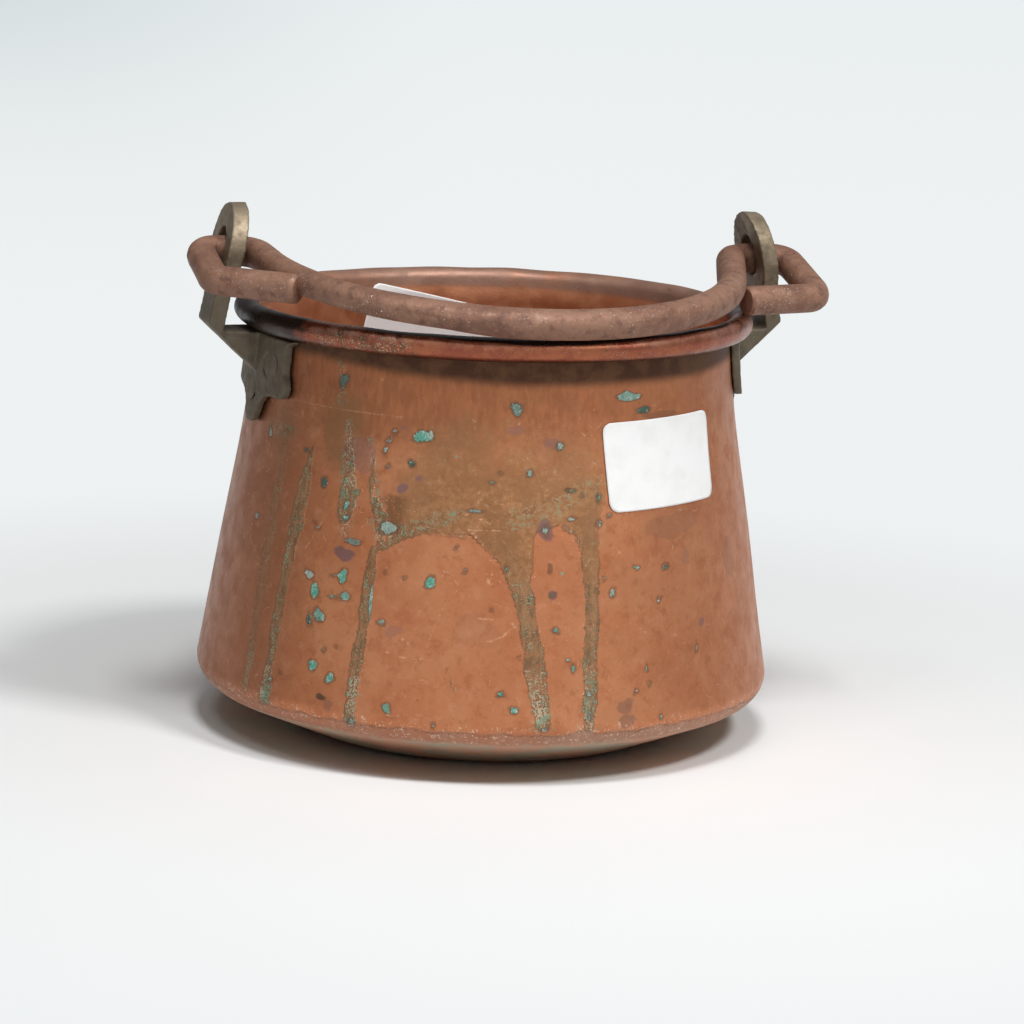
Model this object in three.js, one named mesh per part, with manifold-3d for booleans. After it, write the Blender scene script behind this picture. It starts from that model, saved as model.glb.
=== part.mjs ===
// Copper cauldron: a raised copper pot with a rim rolled over an iron wire, two cast brass ears
// riveted below the rim, and a forged iron bail whose hooked ends turn in the ears' eyes.
// Millimetres, +Z up. The origin is the centre of the flat base; the ears stand on the X axis
// and the bail is folded down towards -Y.

import * as THREE from 'three';
import { mergeVertices } from 'three/addons/utils/BufferGeometryUtils.js';
import Module from 'manifold-3d';

const wasm = await Module();
wasm.setup();

const degrees = THREE.MathUtils.degToRad;

// Clearance left between pieces that touch on the real object
const GAP = 0.3;

// Copper pot
const SHEET = 1.1;
const BASE_RADIUS = 45.4;
const WIDEST_RADIUS = 72;
const CORNER_RADIUS = 6.75;
const UNDERSIDE_SLOPE = degrees(23.4);
const NECK_RADIUS = 59.2;
const RIM_HEIGHT = 104.45; // centre of the wire in the rolled rim
const WALL_SWAY = [-0.65, 0.4, -0.16]; // how far the raised wall bows from a straight cone

// Rolled rim
const WIRE_RADIUS = 1.7;
const NECK_FLARE = 0.5;
const CURL_SWEEP = degrees(305);

// Brass ears
const AXIS_LIFT = 14.5; // bail axis above the wire's centre, over the pot's middle
const AXIS_TILT = degrees(0.8); // the left eye is drilled higher than the right
const EYE_RADIUS = 5;
const RING_RADIUS = 10.9;
const EAR_THICKNESS = 4.2;
const EAR_LEAN = degrees(11.2);
const ARM_HALF_WIDTH = 6.5;
const ARM_FILLET = 3;
const ARM_STANDOFF = 5.4; // from the rolled rim to the arm's inner face
const SHELF_DROP = 0.6; // from the rolled rim down to the bracket's shelf
const HEEL_RISE = 1.8; // from the shelf up to the arm's outer bend
const HEEL_SLOPE = degrees(43.6);
const PLATE_THICKNESS = 2;
const LOBE_HALF_WIDTH = 24;
const LOBE_DROP = 14.6; // from the shelf down to the bottom of the lobes
const LOBE_RADIUS = 6;
const TIP_DROP = 7.6; // from the bottom of the lobes down to the tip
const TIP_HALF_WIDTH = 13;

// Rivets, peened flush in the ear and headed inside the pot
const RIVET_RADIUS = 1.8;
const RIVET_HEAD_RADIUS = 3.4;
const RIVET_HEAD_HEIGHT = 1;
const SINK_RADIUS = 2.8;
const SINK_DEPTH = 1.1;
const LOBE_RIVET_SPREAD = degrees(14); // each side of the ear's middle
const LOBE_RIVET_DROP = 7.2; // below the shelf
const TIP_RIVET_DROP = 14;

// Iron bail
const ROD_RADIUS = 3.7;
const CROWN_OUTSET = 2.9; // from the wire's circle out to the folded crown
const CROWN_INSET = 3; // the crown's radius is this much less than the leg's place on the axis
const CROWN_SHIFT = -1.9; // the crown's middle lies left of the pot's, and less far than CROWN_INSET
const LEG_INSET = 4.8; // from the eye's inner face to the leg's bend
const LEG_BEND = 6;
const HOOK_BEND = 5.5;
const HOOK_DROP = degrees(16);
// Each hook: how far it stands out of its eye, how far forward its return runs at the outer and
// inner end, and how far inside the eye's inner face it stops
const LEFT_HOOK = { outset: 1.1, near: 18, far: 24.5, inset: 9.8 };
const RIGHT_HOOK = { outset: 3.6, near: 21.5, far: 27, inset: 6.5 };

// Facets
const ROUND = 64;
const WALL_ROWS = 10;
const CORNER_STEPS = 5;
const CURL_STEPS = 12;
const WIRE_SIDES = 8;
const ROD_SIDES = 12;
const RIVET_SIDES = 12;

const curlInner = WIRE_RADIUS + GAP;
const curlOuter = curlInner + SHEET;
const rimRadius = NECK_RADIUS + NECK_FLARE + curlInner;
const neckHeight = RIM_HEIGHT - curlOuter;
const cornerFoot = WIDEST_RADIUS - CORNER_RADIUS * (1 - Math.sin(UNDERSIDE_SLOPE));
const widestHeight = CORNER_RADIUS * Math.cos(UNDERSIDE_SLOPE)
  + (cornerFoot - BASE_RADIUS) * Math.tan(UNDERSIDE_SLOPE);

const shelfHeight = neckHeight - SHELF_DROP;
const armFoot = rimRadius + curlOuter + ARM_STANDOFF;
const armInner = (height) => armFoot - (height - shelfHeight) * Math.tan(EAR_LEAN);
const armOuter = (height) => armInner(height) + EAR_THICKNESS;

// The bail's axis crosses the pot above the rim, and its rod lies in the bottom of each eye.
const axisHeight = (across) => RIM_HEIGHT + AXIS_LIFT - across * Math.tan(AXIS_TILT);
const ringHeight = (side) => axisHeight(side * armFoot) + EYE_RADIUS - ROD_RADIUS - GAP;

const copper = new THREE.MeshStandardMaterial({ color: 0x9a4a2c, roughness: 0.42, metalness: 0.85 });
const brass = new THREE.MeshStandardMaterial({ color: 0x6f624a, roughness: 0.5, metalness: 0.8 });
const iron = new THREE.MeshStandardMaterial({ color: 0x5e4138, roughness: 0.65, metalness: 0.5 });

// Outer radius of the pot's wall at a height between the widest circle and the neck.
function wallRadius(height) {
  const share = (height - widestHeight) / (neckHeight - widestHeight);
  const sway = WALL_SWAY.reduce((sum, size, i) => sum + size * Math.sin((i + 1) * Math.PI * share), 0);
  return THREE.MathUtils.lerp(WIDEST_RADIUS, NECK_RADIUS, share) + sway;
}

// Lean of the wall at a height, as the angle of its outward normal above the horizontal.
function wallLean(height) {
  const step = 0.5;
  return Math.atan2(wallRadius(height - step) - wallRadius(height + step), 2 * step);
}

function wallPoints(from, to, rows) {
  return Array.from({ length: rows + 1 }, (_, i) => {
    const height = THREE.MathUtils.lerp(from, to, i / rows);
    return new THREE.Vector2(wallRadius(height), height);
  });
}

function arcPoints(centre, radius, from, to, steps) {
  return Array.from({ length: steps + 1 }, (_, i) => {
    const angle = THREE.MathUtils.lerp(from, to, i / steps);
    return new THREE.Vector2(centre.x + radius * Math.cos(angle), centre.y + radius * Math.sin(angle));
  });
}

// A closed solid from a geometry whose faces meet edge to edge.
function solid(geometry) {
  const bare = geometry.index ? geometry.toNonIndexed() : geometry.clone();
  bare.deleteAttribute('normal');
  bare.deleteAttribute('uv');
  const welded = mergeVertices(bare);
  const position = welded.attributes.position;
  const triangles = [];
  for (let i = 0; i < welded.index.count; i += 3) {
    const [a, b, c] = [0, 1, 2].map((k) => welded.index.getX(i + k));
    if (a !== b && b !== c && c !== a) triangles.push(a, b, c);
  }
  const corner = [0, 1, 2].map(() => new THREE.Vector3());
  let volume = 0;
  for (let i = 0; i < triangles.length; i += 3) {
    corner.forEach((vector, k) => vector.fromBufferAttribute(position, triangles[i + k]));
    volume += corner[0].dot(corner[1].clone().cross(corner[2]));
  }
  if (volume < 0) triangles.reverse();
  return new wasm.Manifold(new wasm.Mesh({
    numProp: 3,
    vertProperties: new Float32Array(position.array),
    triVerts: new Uint32Array(triangles),
  }));
}

function namedMesh(name, piece, material) {
  const { vertProperties, triVerts } = piece.getMesh();
  const geometry = new THREE.BufferGeometry();
  geometry.setAttribute('position', new THREE.BufferAttribute(new Float32Array(vertProperties), 3));
  geometry.setIndex(new THREE.BufferAttribute(new Uint32Array(triVerts), 1));
  geometry.computeVertexNormals();
  const mesh = new THREE.Mesh(geometry, material);
  mesh.name = name;
  return mesh;
}

// Revolves a profile of (radius, height) points about Z.
function revolve(points, segments) {
  return new THREE.LatheGeometry(points, segments).rotateX(Math.PI / 2);
}

function placed(geometry, matrix) {
  return geometry.clone().applyMatrix4(matrix);
}

// The copper shell as one profile: up the outside, over and round the wire, and back down the inside.
function potProfile() {
  const corner = arcPoints(
    new THREE.Vector2(WIDEST_RADIUS - CORNER_RADIUS, widestHeight),
    CORNER_RADIUS, UNDERSIDE_SLOPE - Math.PI / 2, 0, CORNER_STEPS,
  );
  const outside = [
    new THREE.Vector2(BASE_RADIUS, 0),
    ...corner,
    ...wallPoints(widestHeight, neckHeight, WALL_ROWS).slice(1),
  ];
  const rim = new THREE.Vector2(rimRadius, RIM_HEIGHT);
  const curlEnd = Math.PI - CURL_SWEEP;
  return [
    new THREE.Vector2(0, 0),
    ...outside,
    ...arcPoints(rim, curlInner, Math.PI, curlEnd, CURL_STEPS),
    ...arcPoints(rim, curlOuter, curlEnd, Math.PI, CURL_STEPS),
    ...inset(outside, SHEET).reverse(),
    new THREE.Vector2(0, SHEET),
  ];
}

// Moves an open profile towards its left side by a distance, mitred at each point.
function inset(points, distance) {
  const normals = points.slice(1).map((point, i) => {
    const along = point.clone().sub(points[i]).normalize();
    return new THREE.Vector2(-along.y, along.x);
  });
  const base = new THREE.Vector2(0, 1);
  return points.map((point, i) => {
    const before = normals[i - 1] ?? base;
    const after = normals[i] ?? normals[i - 1];
    const mitre = before.clone().add(after).normalize();
    return point.clone().addScaledVector(mitre, distance / mitre.dot(after));
  });
}

// A solid that fills the pot out to a distance from its wall, to trim what hugs the wall.
function wallFill(distance) {
  const top = shelfHeight + EAR_THICKNESS;
  const wall = wallPoints(widestHeight, neckHeight, WALL_ROWS)
    .map((point) => point.clone().setX(point.x + distance));
  wall.push(new THREE.Vector2(wall.at(-1).x, top));
  return solid(revolve([
    new THREE.Vector2(0, widestHeight),
    ...wall,
    new THREE.Vector2(0, top),
  ], ROUND));
}

// Front outline of the plate against the wall: two round lobes and a drawn-out tip.
function plateOutline() {
  const lobeFoot = shelfHeight - LOBE_DROP;
  const tip = lobeFoot - TIP_DROP;
  const shape = new THREE.Shape();
  shape.moveTo(-LOBE_HALF_WIDTH, shelfHeight);
  shape.lineTo(-LOBE_HALF_WIDTH, lobeFoot + LOBE_RADIUS);
  shape.absarc(-LOBE_HALF_WIDTH + LOBE_RADIUS, lobeFoot + LOBE_RADIUS, LOBE_RADIUS, Math.PI, 1.5 * Math.PI);
  shape.lineTo(-TIP_HALF_WIDTH, lobeFoot);
  shape.quadraticCurveTo(-TIP_HALF_WIDTH / 2, lobeFoot, -TIP_HALF_WIDTH / 3, lobeFoot - TIP_DROP / 2);
  shape.quadraticCurveTo(-TIP_HALF_WIDTH / 4, tip, 0, tip);
  shape.quadraticCurveTo(TIP_HALF_WIDTH / 4, tip, TIP_HALF_WIDTH / 3, lobeFoot - TIP_DROP / 2);
  shape.quadraticCurveTo(TIP_HALF_WIDTH / 2, lobeFoot, TIP_HALF_WIDTH, lobeFoot);
  shape.lineTo(LOBE_HALF_WIDTH - LOBE_RADIUS, lobeFoot);
  shape.absarc(LOBE_HALF_WIDTH - LOBE_RADIUS, lobeFoot + LOBE_RADIUS, LOBE_RADIUS, 1.5 * Math.PI, 2 * Math.PI);
  shape.lineTo(LOBE_HALF_WIDTH, shelfHeight);
  shape.closePath();
  return shape;
}

// Front outline of the arm and the round ring that it carries.
function armOutline(foot, ringCentre) {
  const reach = ARM_HALF_WIDTH + ARM_FILLET;
  const drop = Math.sqrt((RING_RADIUS + ARM_FILLET) ** 2 - reach ** 2);
  const toRing = Math.atan2(drop, -reach);
  const shape = new THREE.Shape();
  shape.moveTo(-ARM_HALF_WIDTH, foot);
  shape.lineTo(ARM_HALF_WIDTH, foot);
  shape.absarc(reach, ringCentre - drop, ARM_FILLET, Math.PI, toRing, true);
  shape.absarc(0, ringCentre, RING_RADIUS, toRing - Math.PI, 2 * Math.PI - toRing);
  shape.absarc(-reach, ringCentre - drop, ARM_FILLET, Math.PI - toRing, 0, true);
  shape.closePath();
  return shape;
}

// Side outline of the arm: a shelf under the rim, a sloping heel and the leaning arm.
function armProfile(ringCentre) {
  const top = ringCentre + RING_RADIUS + EAR_THICKNESS;
  const heel = shelfHeight + HEEL_RISE;
  const root = NECK_RADIUS;
  const shape = new THREE.Shape();
  shape.moveTo(root, shelfHeight);
  shape.lineTo(armInner(shelfHeight), shelfHeight);
  shape.lineTo(armInner(top), top);
  shape.lineTo(armOuter(top), top);
  shape.lineTo(armOuter(heel), heel);
  shape.lineTo(root, heel - (armOuter(heel) - root) * Math.tan(HEEL_SLOPE));
  shape.closePath();
  return shape;
}

// A front outline in (Y, Z), extruded from the pot's axis out past the ears.
function throughX(shape, curveSegments) {
  const depth = 2 * WIDEST_RADIUS;
  const geometry = new THREE.ExtrudeGeometry(shape, { depth, curveSegments, bevelEnabled: false });
  const basis = new THREE.Matrix4().makeBasis(
    new THREE.Vector3(0, 1, 0), new THREE.Vector3(0, 0, 1), new THREE.Vector3(1, 0, 0),
  );
  return solid(placed(geometry, basis));
}

// A side outline in (X, Z), extruded across the whole ear.
function throughY(shape, halfWidth) {
  const geometry = new THREE.ExtrudeGeometry(shape, { depth: 2 * halfWidth, bevelEnabled: false });
  const basis = new THREE.Matrix4().makeBasis(
    new THREE.Vector3(1, 0, 0), new THREE.Vector3(0, 0, 1), new THREE.Vector3(0, -1, 0),
  ).setPosition(0, halfWidth, 0);
  return solid(placed(geometry, basis));
}

// Places along the +X ear where rivets go through plate and wall, with the axis square to the wall.
const rivetSpots = [
  { turn: -LOBE_RIVET_SPREAD, height: shelfHeight - LOBE_RIVET_DROP },
  { turn: LOBE_RIVET_SPREAD, height: shelfHeight - LOBE_RIVET_DROP },
  { turn: 0, height: shelfHeight - TIP_RIVET_DROP },
];

function spotMatrix({ turn, height }) {
  const outwards = new THREE.Matrix4().makeRotationY(Math.PI / 2 - wallLean(height))
    .setPosition(wallRadius(height), 0, height);
  return new THREE.Matrix4().makeRotationZ(turn).multiply(outwards);
}

// Rivet about its own Z: zero is the wall's outer face, positive goes out through the plate.
function rivetProfile() {
  const face = GAP + PLATE_THICKNESS;
  const seat = -SHEET - GAP;
  return [
    [0, seat - RIVET_HEAD_HEIGHT],
    [0.6 * RIVET_HEAD_RADIUS, seat - RIVET_HEAD_HEIGHT],
    [RIVET_HEAD_RADIUS, seat - 0.4 * RIVET_HEAD_HEIGHT],
    [RIVET_HEAD_RADIUS, seat],
    [RIVET_RADIUS, seat],
    [RIVET_RADIUS, face - SINK_DEPTH],
    [SINK_RADIUS, face],
    [0, face],
  ].map(([radius, along]) => new THREE.Vector2(radius, along));
}

// What a rivet's hole and countersink take out of the wall and the plate.
function rivetHoleProfile() {
  const face = GAP + PLATE_THICKNESS;
  const shank = RIVET_RADIUS + GAP;
  const sink = SINK_RADIUS + GAP;
  return [
    [0, -2 * SHEET],
    [shank, -2 * SHEET],
    [shank, face - SINK_DEPTH],
    [sink, face],
    [sink, face + SHEET],
    [0, face + SHEET],
  ].map(([radius, along]) => new THREE.Vector2(radius, along));
}

function rivetHoles() {
  const hole = revolve(rivetHoleProfile(), RIVET_SIDES);
  return rivetSpots.map((spot) => solid(placed(hole, spotMatrix(spot)))).reduce((all, one) => all.add(one));
}

const onLeft = new THREE.Matrix4().makeRotationZ(Math.PI);

function potBody() {
  const right = rivetHoles();
  const left = right.transform(onLeft.toArray());
  return solid(revolve(potProfile(), ROUND)).subtract(right).subtract(left);
}

function rimWire() {
  const rim = new THREE.Vector2(rimRadius, RIM_HEIGHT);
  return solid(revolve(arcPoints(rim, WIRE_RADIUS, 0, 2 * Math.PI, WIRE_SIDES), ROUND));
}

// An ear as it stands on +X: a plate that hugs the wall, a bracket and arm, and the ring with
// the bail's eye.
function ear(ringCentre) {
  const plate = throughX(plateOutline(), 6).intersect(wallFill(GAP + PLATE_THICKNESS));
  const arm = throughX(armOutline(shelfHeight - LOBE_DROP, ringCentre), 24)
    .intersect(throughY(armProfile(ringCentre), RING_RADIUS + ARM_FILLET));
  const eye = new THREE.CylinderGeometry(EYE_RADIUS, EYE_RADIUS, 2 * WIDEST_RADIUS, 24)
    .rotateZ(Math.PI / 2)
    .translate(WIDEST_RADIUS, 0, ringCentre);
  return plate.add(arm).subtract(wallFill(GAP)).subtract(rivetHoles()).subtract(solid(eye));
}

// A route of straight runs whose corners are rounded, each by its own radius.
class RoundedRoute extends THREE.Curve {
  constructor(corners, spacing) {
    super();
    this.rings = [corners[0].at];
    for (let i = 1; i < corners.length - 1; i += 1) {
      this.rings.push(...bend(corners[i - 1].at, corners[i], corners[i + 1].at, spacing));
    }
    this.rings.push(corners.at(-1).at);
  }

  getPoint(share) {
    const place = THREE.MathUtils.clamp(share, 0, 1) * (this.rings.length - 1);
    const i = Math.min(Math.floor(place), this.rings.length - 2);
    return this.rings[i].clone().lerp(this.rings[i + 1], place - i);
  }

  // The rings stay where the bends need them, not at even distances.
  getUtoTmapping(share) {
    return share;
  }
}

// Points of the arc that rounds one corner, the first and last on its straight runs.
function bend(before, { at, radius }, after, spacing) {
  const arriving = at.clone().sub(before).normalize();
  const leaving = after.clone().sub(at).normalize();
  const turn = arriving.angleTo(leaving);
  const start = at.clone().addScaledVector(arriving, -radius * Math.tan(turn / 2));
  const inward = leaving.clone().addScaledVector(arriving, -arriving.dot(leaving)).normalize();
  const steps = Math.ceil(turn / spacing(radius));
  return Array.from({ length: steps + 1 }, (_, i) => {
    const angle = turn * i / steps;
    return start.clone()
      .addScaledVector(arriving, radius * Math.sin(angle))
      .addScaledVector(inward, radius * (1 - Math.cos(angle)));
  });
}

// The bail lies folded with its crown just clear of the rolled rim.
const crownReach = rimRadius + CROWN_OUTSET;
const crownRise = Math.sqrt((curlOuter + GAP + ROD_RADIUS) ** 2 - CROWN_OUTSET ** 2);
const bailDrop = Math.atan2(AXIS_LIFT - crownRise, crownReach);
const bailReach = Math.hypot(AXIS_LIFT - crownRise, crownReach);

// A point of the bail: across along the axis, forward square to it, and hanging by an angle.
function bailPoint(across, forward, drop) {
  return new THREE.Vector3(
    across,
    -forward * Math.cos(drop),
    axisHeight(across) - forward * Math.sin(drop),
  );
}

function bailCorners() {
  const eyeInner = armInner(axisHeight(0));
  const eyeOuter = armOuter(axisHeight(0));
  const legBend = eyeInner - LEG_INSET;
  const crownRadius = legBend - CROWN_INSET;
  const centre = bailReach - crownRadius;
  // Each leg runs straight from its bend to the crown's circle; this is the angle where it touches.
  const [left, right] = [-1, 1].map((side) => {
    const across = legBend - side * CROWN_SHIFT;
    return Math.acos(crownRadius / Math.hypot(across, centre)) - Math.atan2(centre, across);
  });
  const scale = crownRadius / Math.sin(left + right);
  const apex = bailPoint(
    CROWN_SHIFT + scale * (Math.sin(left) - Math.sin(right)),
    centre + scale * (Math.cos(left) + Math.cos(right)),
    bailDrop,
  );
  const hook = (side, { outset, near, far, inset }) => {
    const out = side * (eyeOuter + outset + ROD_RADIUS);
    return [
      { at: bailPoint(side * (eyeInner - inset), far, HOOK_DROP) },
      { at: bailPoint(out, near, HOOK_DROP), radius: HOOK_BEND },
      { at: bailPoint(out, 0, bailDrop), radius: HOOK_BEND },
      { at: bailPoint(side * legBend, 0, bailDrop), radius: LEG_BEND },
    ];
  };
  return [
    ...hook(-1, LEFT_HOOK),
    { at: apex, radius: crownRadius },
    ...hook(1, RIGHT_HOOK).reverse(),
  ];
}

function bail() {
  const spacing = (radius) => (radius > 2 * HOOK_BEND ? degrees(7) : degrees(16));
  const route = new RoundedRoute(bailCorners(), spacing);
  const section = new THREE.Shape(
    arcPoints(new THREE.Vector2(), ROD_RADIUS, 0, 2 * Math.PI, ROD_SIDES).slice(0, ROD_SIDES),
  );
  return solid(new THREE.ExtrudeGeometry(section, {
    steps: route.rings.length - 1,
    extrudePath: route,
    bevelEnabled: false,
  }));
}

function rivet(name, spot) {
  const mesh = namedMesh(name, solid(revolve(rivetProfile(), RIVET_SIDES)), copper);
  mesh.applyMatrix4(spotMatrix(spot));
  return mesh;
}

// One ear with its rivets, as they stand on +X; the names follow the rivets' order.
function earGroup(side, ringCentre, rivetNames) {
  const group = new THREE.Group();
  group.add(namedMesh(`${side}_ear`, ear(ringCentre), brass));
  rivetSpots.forEach((spot, i) => group.add(rivet(`${side}_rivet_${rivetNames[i]}`, spot)));
  return group;
}

const rightEar = earGroup('right', ringHeight(1), ['front', 'rear', 'low']);
const leftEar = earGroup('left', ringHeight(-1), ['rear', 'front', 'low']);
leftEar.rotation.z = Math.PI;

const cauldron = new THREE.Group();
cauldron.name = 'copper_cauldron';
cauldron.add(namedMesh('pot_body', potBody(), copper));
cauldron.add(namedMesh('rim_wire', rimWire(), iron));
cauldron.add(leftEar, rightEar);
cauldron.add(namedMesh('bail_handle', bail(), iron));

export default cauldron;
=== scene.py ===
"""The finish of the copper cauldron: hammered copper pot, cast brass ears, forged iron bail and paper labels.

Shapes are worked out in millimetres in the pot's own frame, +Z up, and made meshes in metres.
An angle round the pot is in degrees from the front, -Y, and grows towards +X.
"""

import math

import bpy
import numpy as np
from mathutils import Matrix, Vector


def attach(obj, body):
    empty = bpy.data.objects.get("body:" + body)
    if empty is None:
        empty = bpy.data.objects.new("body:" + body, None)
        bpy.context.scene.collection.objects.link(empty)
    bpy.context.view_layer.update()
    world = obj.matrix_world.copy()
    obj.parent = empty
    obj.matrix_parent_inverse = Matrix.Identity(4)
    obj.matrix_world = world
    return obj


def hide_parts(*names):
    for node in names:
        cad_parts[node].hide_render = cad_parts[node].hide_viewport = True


MM = 0.001

# Sizes of the part, in millimetres and degrees
SHEET = 1.1
GAP = 0.3
BASE_RADIUS = 45.4
WIDEST_RADIUS = 72.0
CORNER_RADIUS = 6.75
UNDERSIDE_SLOPE = math.radians(23.4)
NECK_RADIUS = 59.2
NECK_FLARE = 0.5
RIM_HEIGHT = 104.45
WALL_SWAY = (-0.65, 0.4, -0.16)
WIRE_RADIUS = 1.7
CURL_SWEEP = math.radians(305)
CURL_INNER = WIRE_RADIUS + GAP
CURL_OUTER = CURL_INNER + SHEET
ROLL_RADIUS = NECK_RADIUS + NECK_FLARE + CURL_INNER
NECK_HEIGHT = RIM_HEIGHT - CURL_OUTER
CORNER_FOOT = WIDEST_RADIUS - CORNER_RADIUS * (1 - math.sin(UNDERSIDE_SLOPE))
CORNER_RISE = CORNER_RADIUS * math.cos(UNDERSIDE_SLOPE)
WIDEST_HEIGHT = CORNER_RISE + (CORNER_FOOT - BASE_RADIUS) * math.tan(UNDERSIDE_SLOPE)

SHELF_HEIGHT = NECK_HEIGHT - 0.6
PLATE_THICKNESS = 2.0
LOBE_RIVET_SPREAD = 14.0
LOBE_RIVET_HEIGHT = SHELF_HEIGHT - 7.2
TIP_RIVET_HEIGHT = SHELF_HEIGHT - 14.0

AXIS_LIFT = 14.5
AXIS_TILT = math.radians(0.8)
ARM_FOOT = ROLL_RADIUS + CURL_OUTER + 5.4
EAR_LEAN = math.radians(11.2)
EAR_THICKNESS = 4.2
ROD_RADIUS = 3.7
CROWN_OUTSET = 2.9
CROWN_INSET = 3.0
CROWN_SHIFT = -1.9
LEG_INSET = 4.8
LEG_BEND = 6.0
HOOK_BEND = 4.1
HOOK_DROP = math.radians(16)

# Each hook: its side, how far its front and its rear corner stand off the ear, how far forward the front
# corner is and how far it dips, how far forward the end is, how far it is lifted and how far inside the ear
LEFT_HOOK = dict(side=-1, outsets=(0.7, 1.1), near=18.0, dip=0.0, far=33.4, lift=4.3, inside=8.8)
RIGHT_HOOK = dict(side=1, outsets=(3.8, 2.0), near=21.5, dip=1.1, far=28.4, lift=0.7, inside=9.8)

# The left plate: degrees that it leans forward below a height and the millimetres over which the lean
# grows, then degrees that its front edge is drawn in, where that starts and over how many it grows
PLATE_LEAN = 5.0
LEAN_HEIGHT = 92.0
LEAN_GROWTH = 7.0
PLATE_DRAW = 3.0
DRAW_START = 4.0
DRAW_GROWTH = 14.0

# How uneven the pot is: the wall's dents and the roll's sag in millimetres, the roll's thinning as a share
DENT_DEPTH = 0.13
ROLL_SAG = 0.12
ROLL_THINNING = 0.035

# Roll's crease at the back, and how deep the sheet buckled there
CREASE_ANGLE = -173.4
CREASE_DEPTH = 0.32

# The rod's thin stretch at the front left: where each end is along the rod, over how far it fades, its depth
THIN_START, THIN_START_FADE = 74.0, 12.0
THIN_END, THIN_END_FADE = 136.0, 14.0
THIN_DEPTH = 0.95

# Flats that the hammer left on the rod: their number, and the range of their depths as a share
HAMMER_FLATS = 110
FLAT_DEPTHS = (0.015, 0.055)

# Unevenness of the cast ears in millimetres
EAR_UNEVENNESS = 0.06

# Radii of a rivet's head inside, of its end outside and of its shank
RIVET_HEAD = 3.4
RIVET_END = 3.34
RIVET_SHANK = 1.95

# Labels: middle as (angle, height), width and height, and tilt
OUTER_LABEL = ((26.9, 76.2), (35.3, 21.1), math.radians(0.9))
INNER_LABEL = ((181.5, 89.8), (38.0, 21.2), math.radians(-12.5))
LABEL_CORNER = 2.4
LABEL_LIFT = 0.1
PAPER_THICKNESS = 0.1

# Fineness of the made meshes. The pot's columns lie closer together in front, where its marks are finest.
FRONT = (-92.0, 60.0, 300)
BEHIND = (60.0, 268.0, 165)
ROD_SIDES = 64
RIVET_SIDES = 40
LABEL_SIDES = 160
EAR_CELL = 0.36
ROUTE_STEP = 0.62
SHARP_ANGLE = math.radians(42)

# The photograph's view: degrees round the pot, above the floor and of roll, distance and focal length
# in millimetres and pixels, and the pixel that shows the point aimed at
VIEW_TURN = math.radians(16)
VIEW_RISE = math.radians(10.96)
VIEW_ROLL = math.radians(2.11)
VIEW_DISTANCE = 1000.0
FOCAL_PIXELS = 3959.3
PICTURE_PIXELS = 1024
TARGET_HEIGHT = 55.0
TARGET_PIXEL = (486.88, 505.8)
SENSOR_WIDTH = 36.0

# How far the floor reaches to each side of the pot
FLOOR_REACH = 9000.0

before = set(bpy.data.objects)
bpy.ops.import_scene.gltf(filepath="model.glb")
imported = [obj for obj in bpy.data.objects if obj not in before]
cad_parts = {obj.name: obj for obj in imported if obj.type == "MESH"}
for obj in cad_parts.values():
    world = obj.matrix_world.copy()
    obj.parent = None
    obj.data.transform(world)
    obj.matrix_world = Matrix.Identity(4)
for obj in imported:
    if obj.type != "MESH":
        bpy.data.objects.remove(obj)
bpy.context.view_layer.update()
scene = bpy.context.scene


def grid_piece(name, points, closed=True, caps=(), **fields):
    """A mesh of quads over rows x columns of points in millimetres.

    A closed piece has its last column joined to its first. A cap closes the first row (0) or the
    last row (-1) with a fan to that row's mean point. Each field is a rows x columns array of
    numbers that is kept with the mesh's points.
    """
    rows, columns = points.shape[:2]
    here = np.arange(rows * columns).reshape(rows, columns)
    across = np.roll(here, -1, axis=1)
    up = np.roll(here, -1, axis=0)
    both = np.roll(across, -1, axis=0)
    quads = np.stack([here, across, both, up], axis=-1)
    quads = quads[:-1, : columns if closed else columns - 1]
    faces = quads.reshape(-1, 4).tolist()
    vertices = points.reshape(-1, 3)
    for row in caps:
        centre = len(vertices)
        vertices = np.vstack([vertices, points[row].mean(axis=0)])
        ring = here[row] if row == -1 else here[row][::-1]
        faces += np.stack([ring, np.roll(ring, -1), np.full(columns, centre)], axis=-1).tolist()
    mesh = bpy.data.meshes.new(name)
    mesh.from_pydata((vertices * MM).tolist(), [], faces)
    mesh.shade_smooth()
    mesh.set_sharp_from_angle(angle=SHARP_ANGLE)
    for field, values in fields.items():
        kept = np.concatenate([values.reshape(-1), [values[row].mean() for row in caps]])
        mesh.attributes.new(field, "FLOAT", "POINT").data.foreach_set("value", kept.astype(np.float32))
    piece = bpy.data.objects.new(name, mesh)
    scene.collection.objects.link(piece)
    return piece


def ripple(along, across, seed, count, reach):
    """Smooth chance unevenness between about -1 and 1: a sum of sines in two directions.

    Each of count sines has a wave number of 0 to reach in each direction, and a chance phase.
    """
    chance = np.random.default_rng(seed)
    total = np.zeros(np.broadcast(along, across).shape)
    for _ in range(count):
        waves = chance.uniform(-reach[0], reach[0]), chance.uniform(-reach[1], reach[1])
        total += np.sin(waves[0] * along + waves[1] * across + chance.uniform(0, 2 * np.pi))
    return total / np.sqrt(2 * count)


def ramp(value, start, length):
    """0 up to the start and 1 from a length beyond it; a negative length makes it grow the other way."""
    return np.clip((value - start) / length, 0, 1)


def bump(distance, width):
    """A bell of height 1 that has fallen to 0.37 at a width from its middle."""
    return np.exp(-((distance / width) ** 2))


def turn_between(angle, middle):
    """Signed degrees from the middle angle, the short way round."""
    return (angle - middle + 180) % 360 - 180


def unit(vectors):
    """Rows of vectors at length 1."""
    return vectors / np.linalg.norm(vectors, axis=-1)[..., None]


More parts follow.
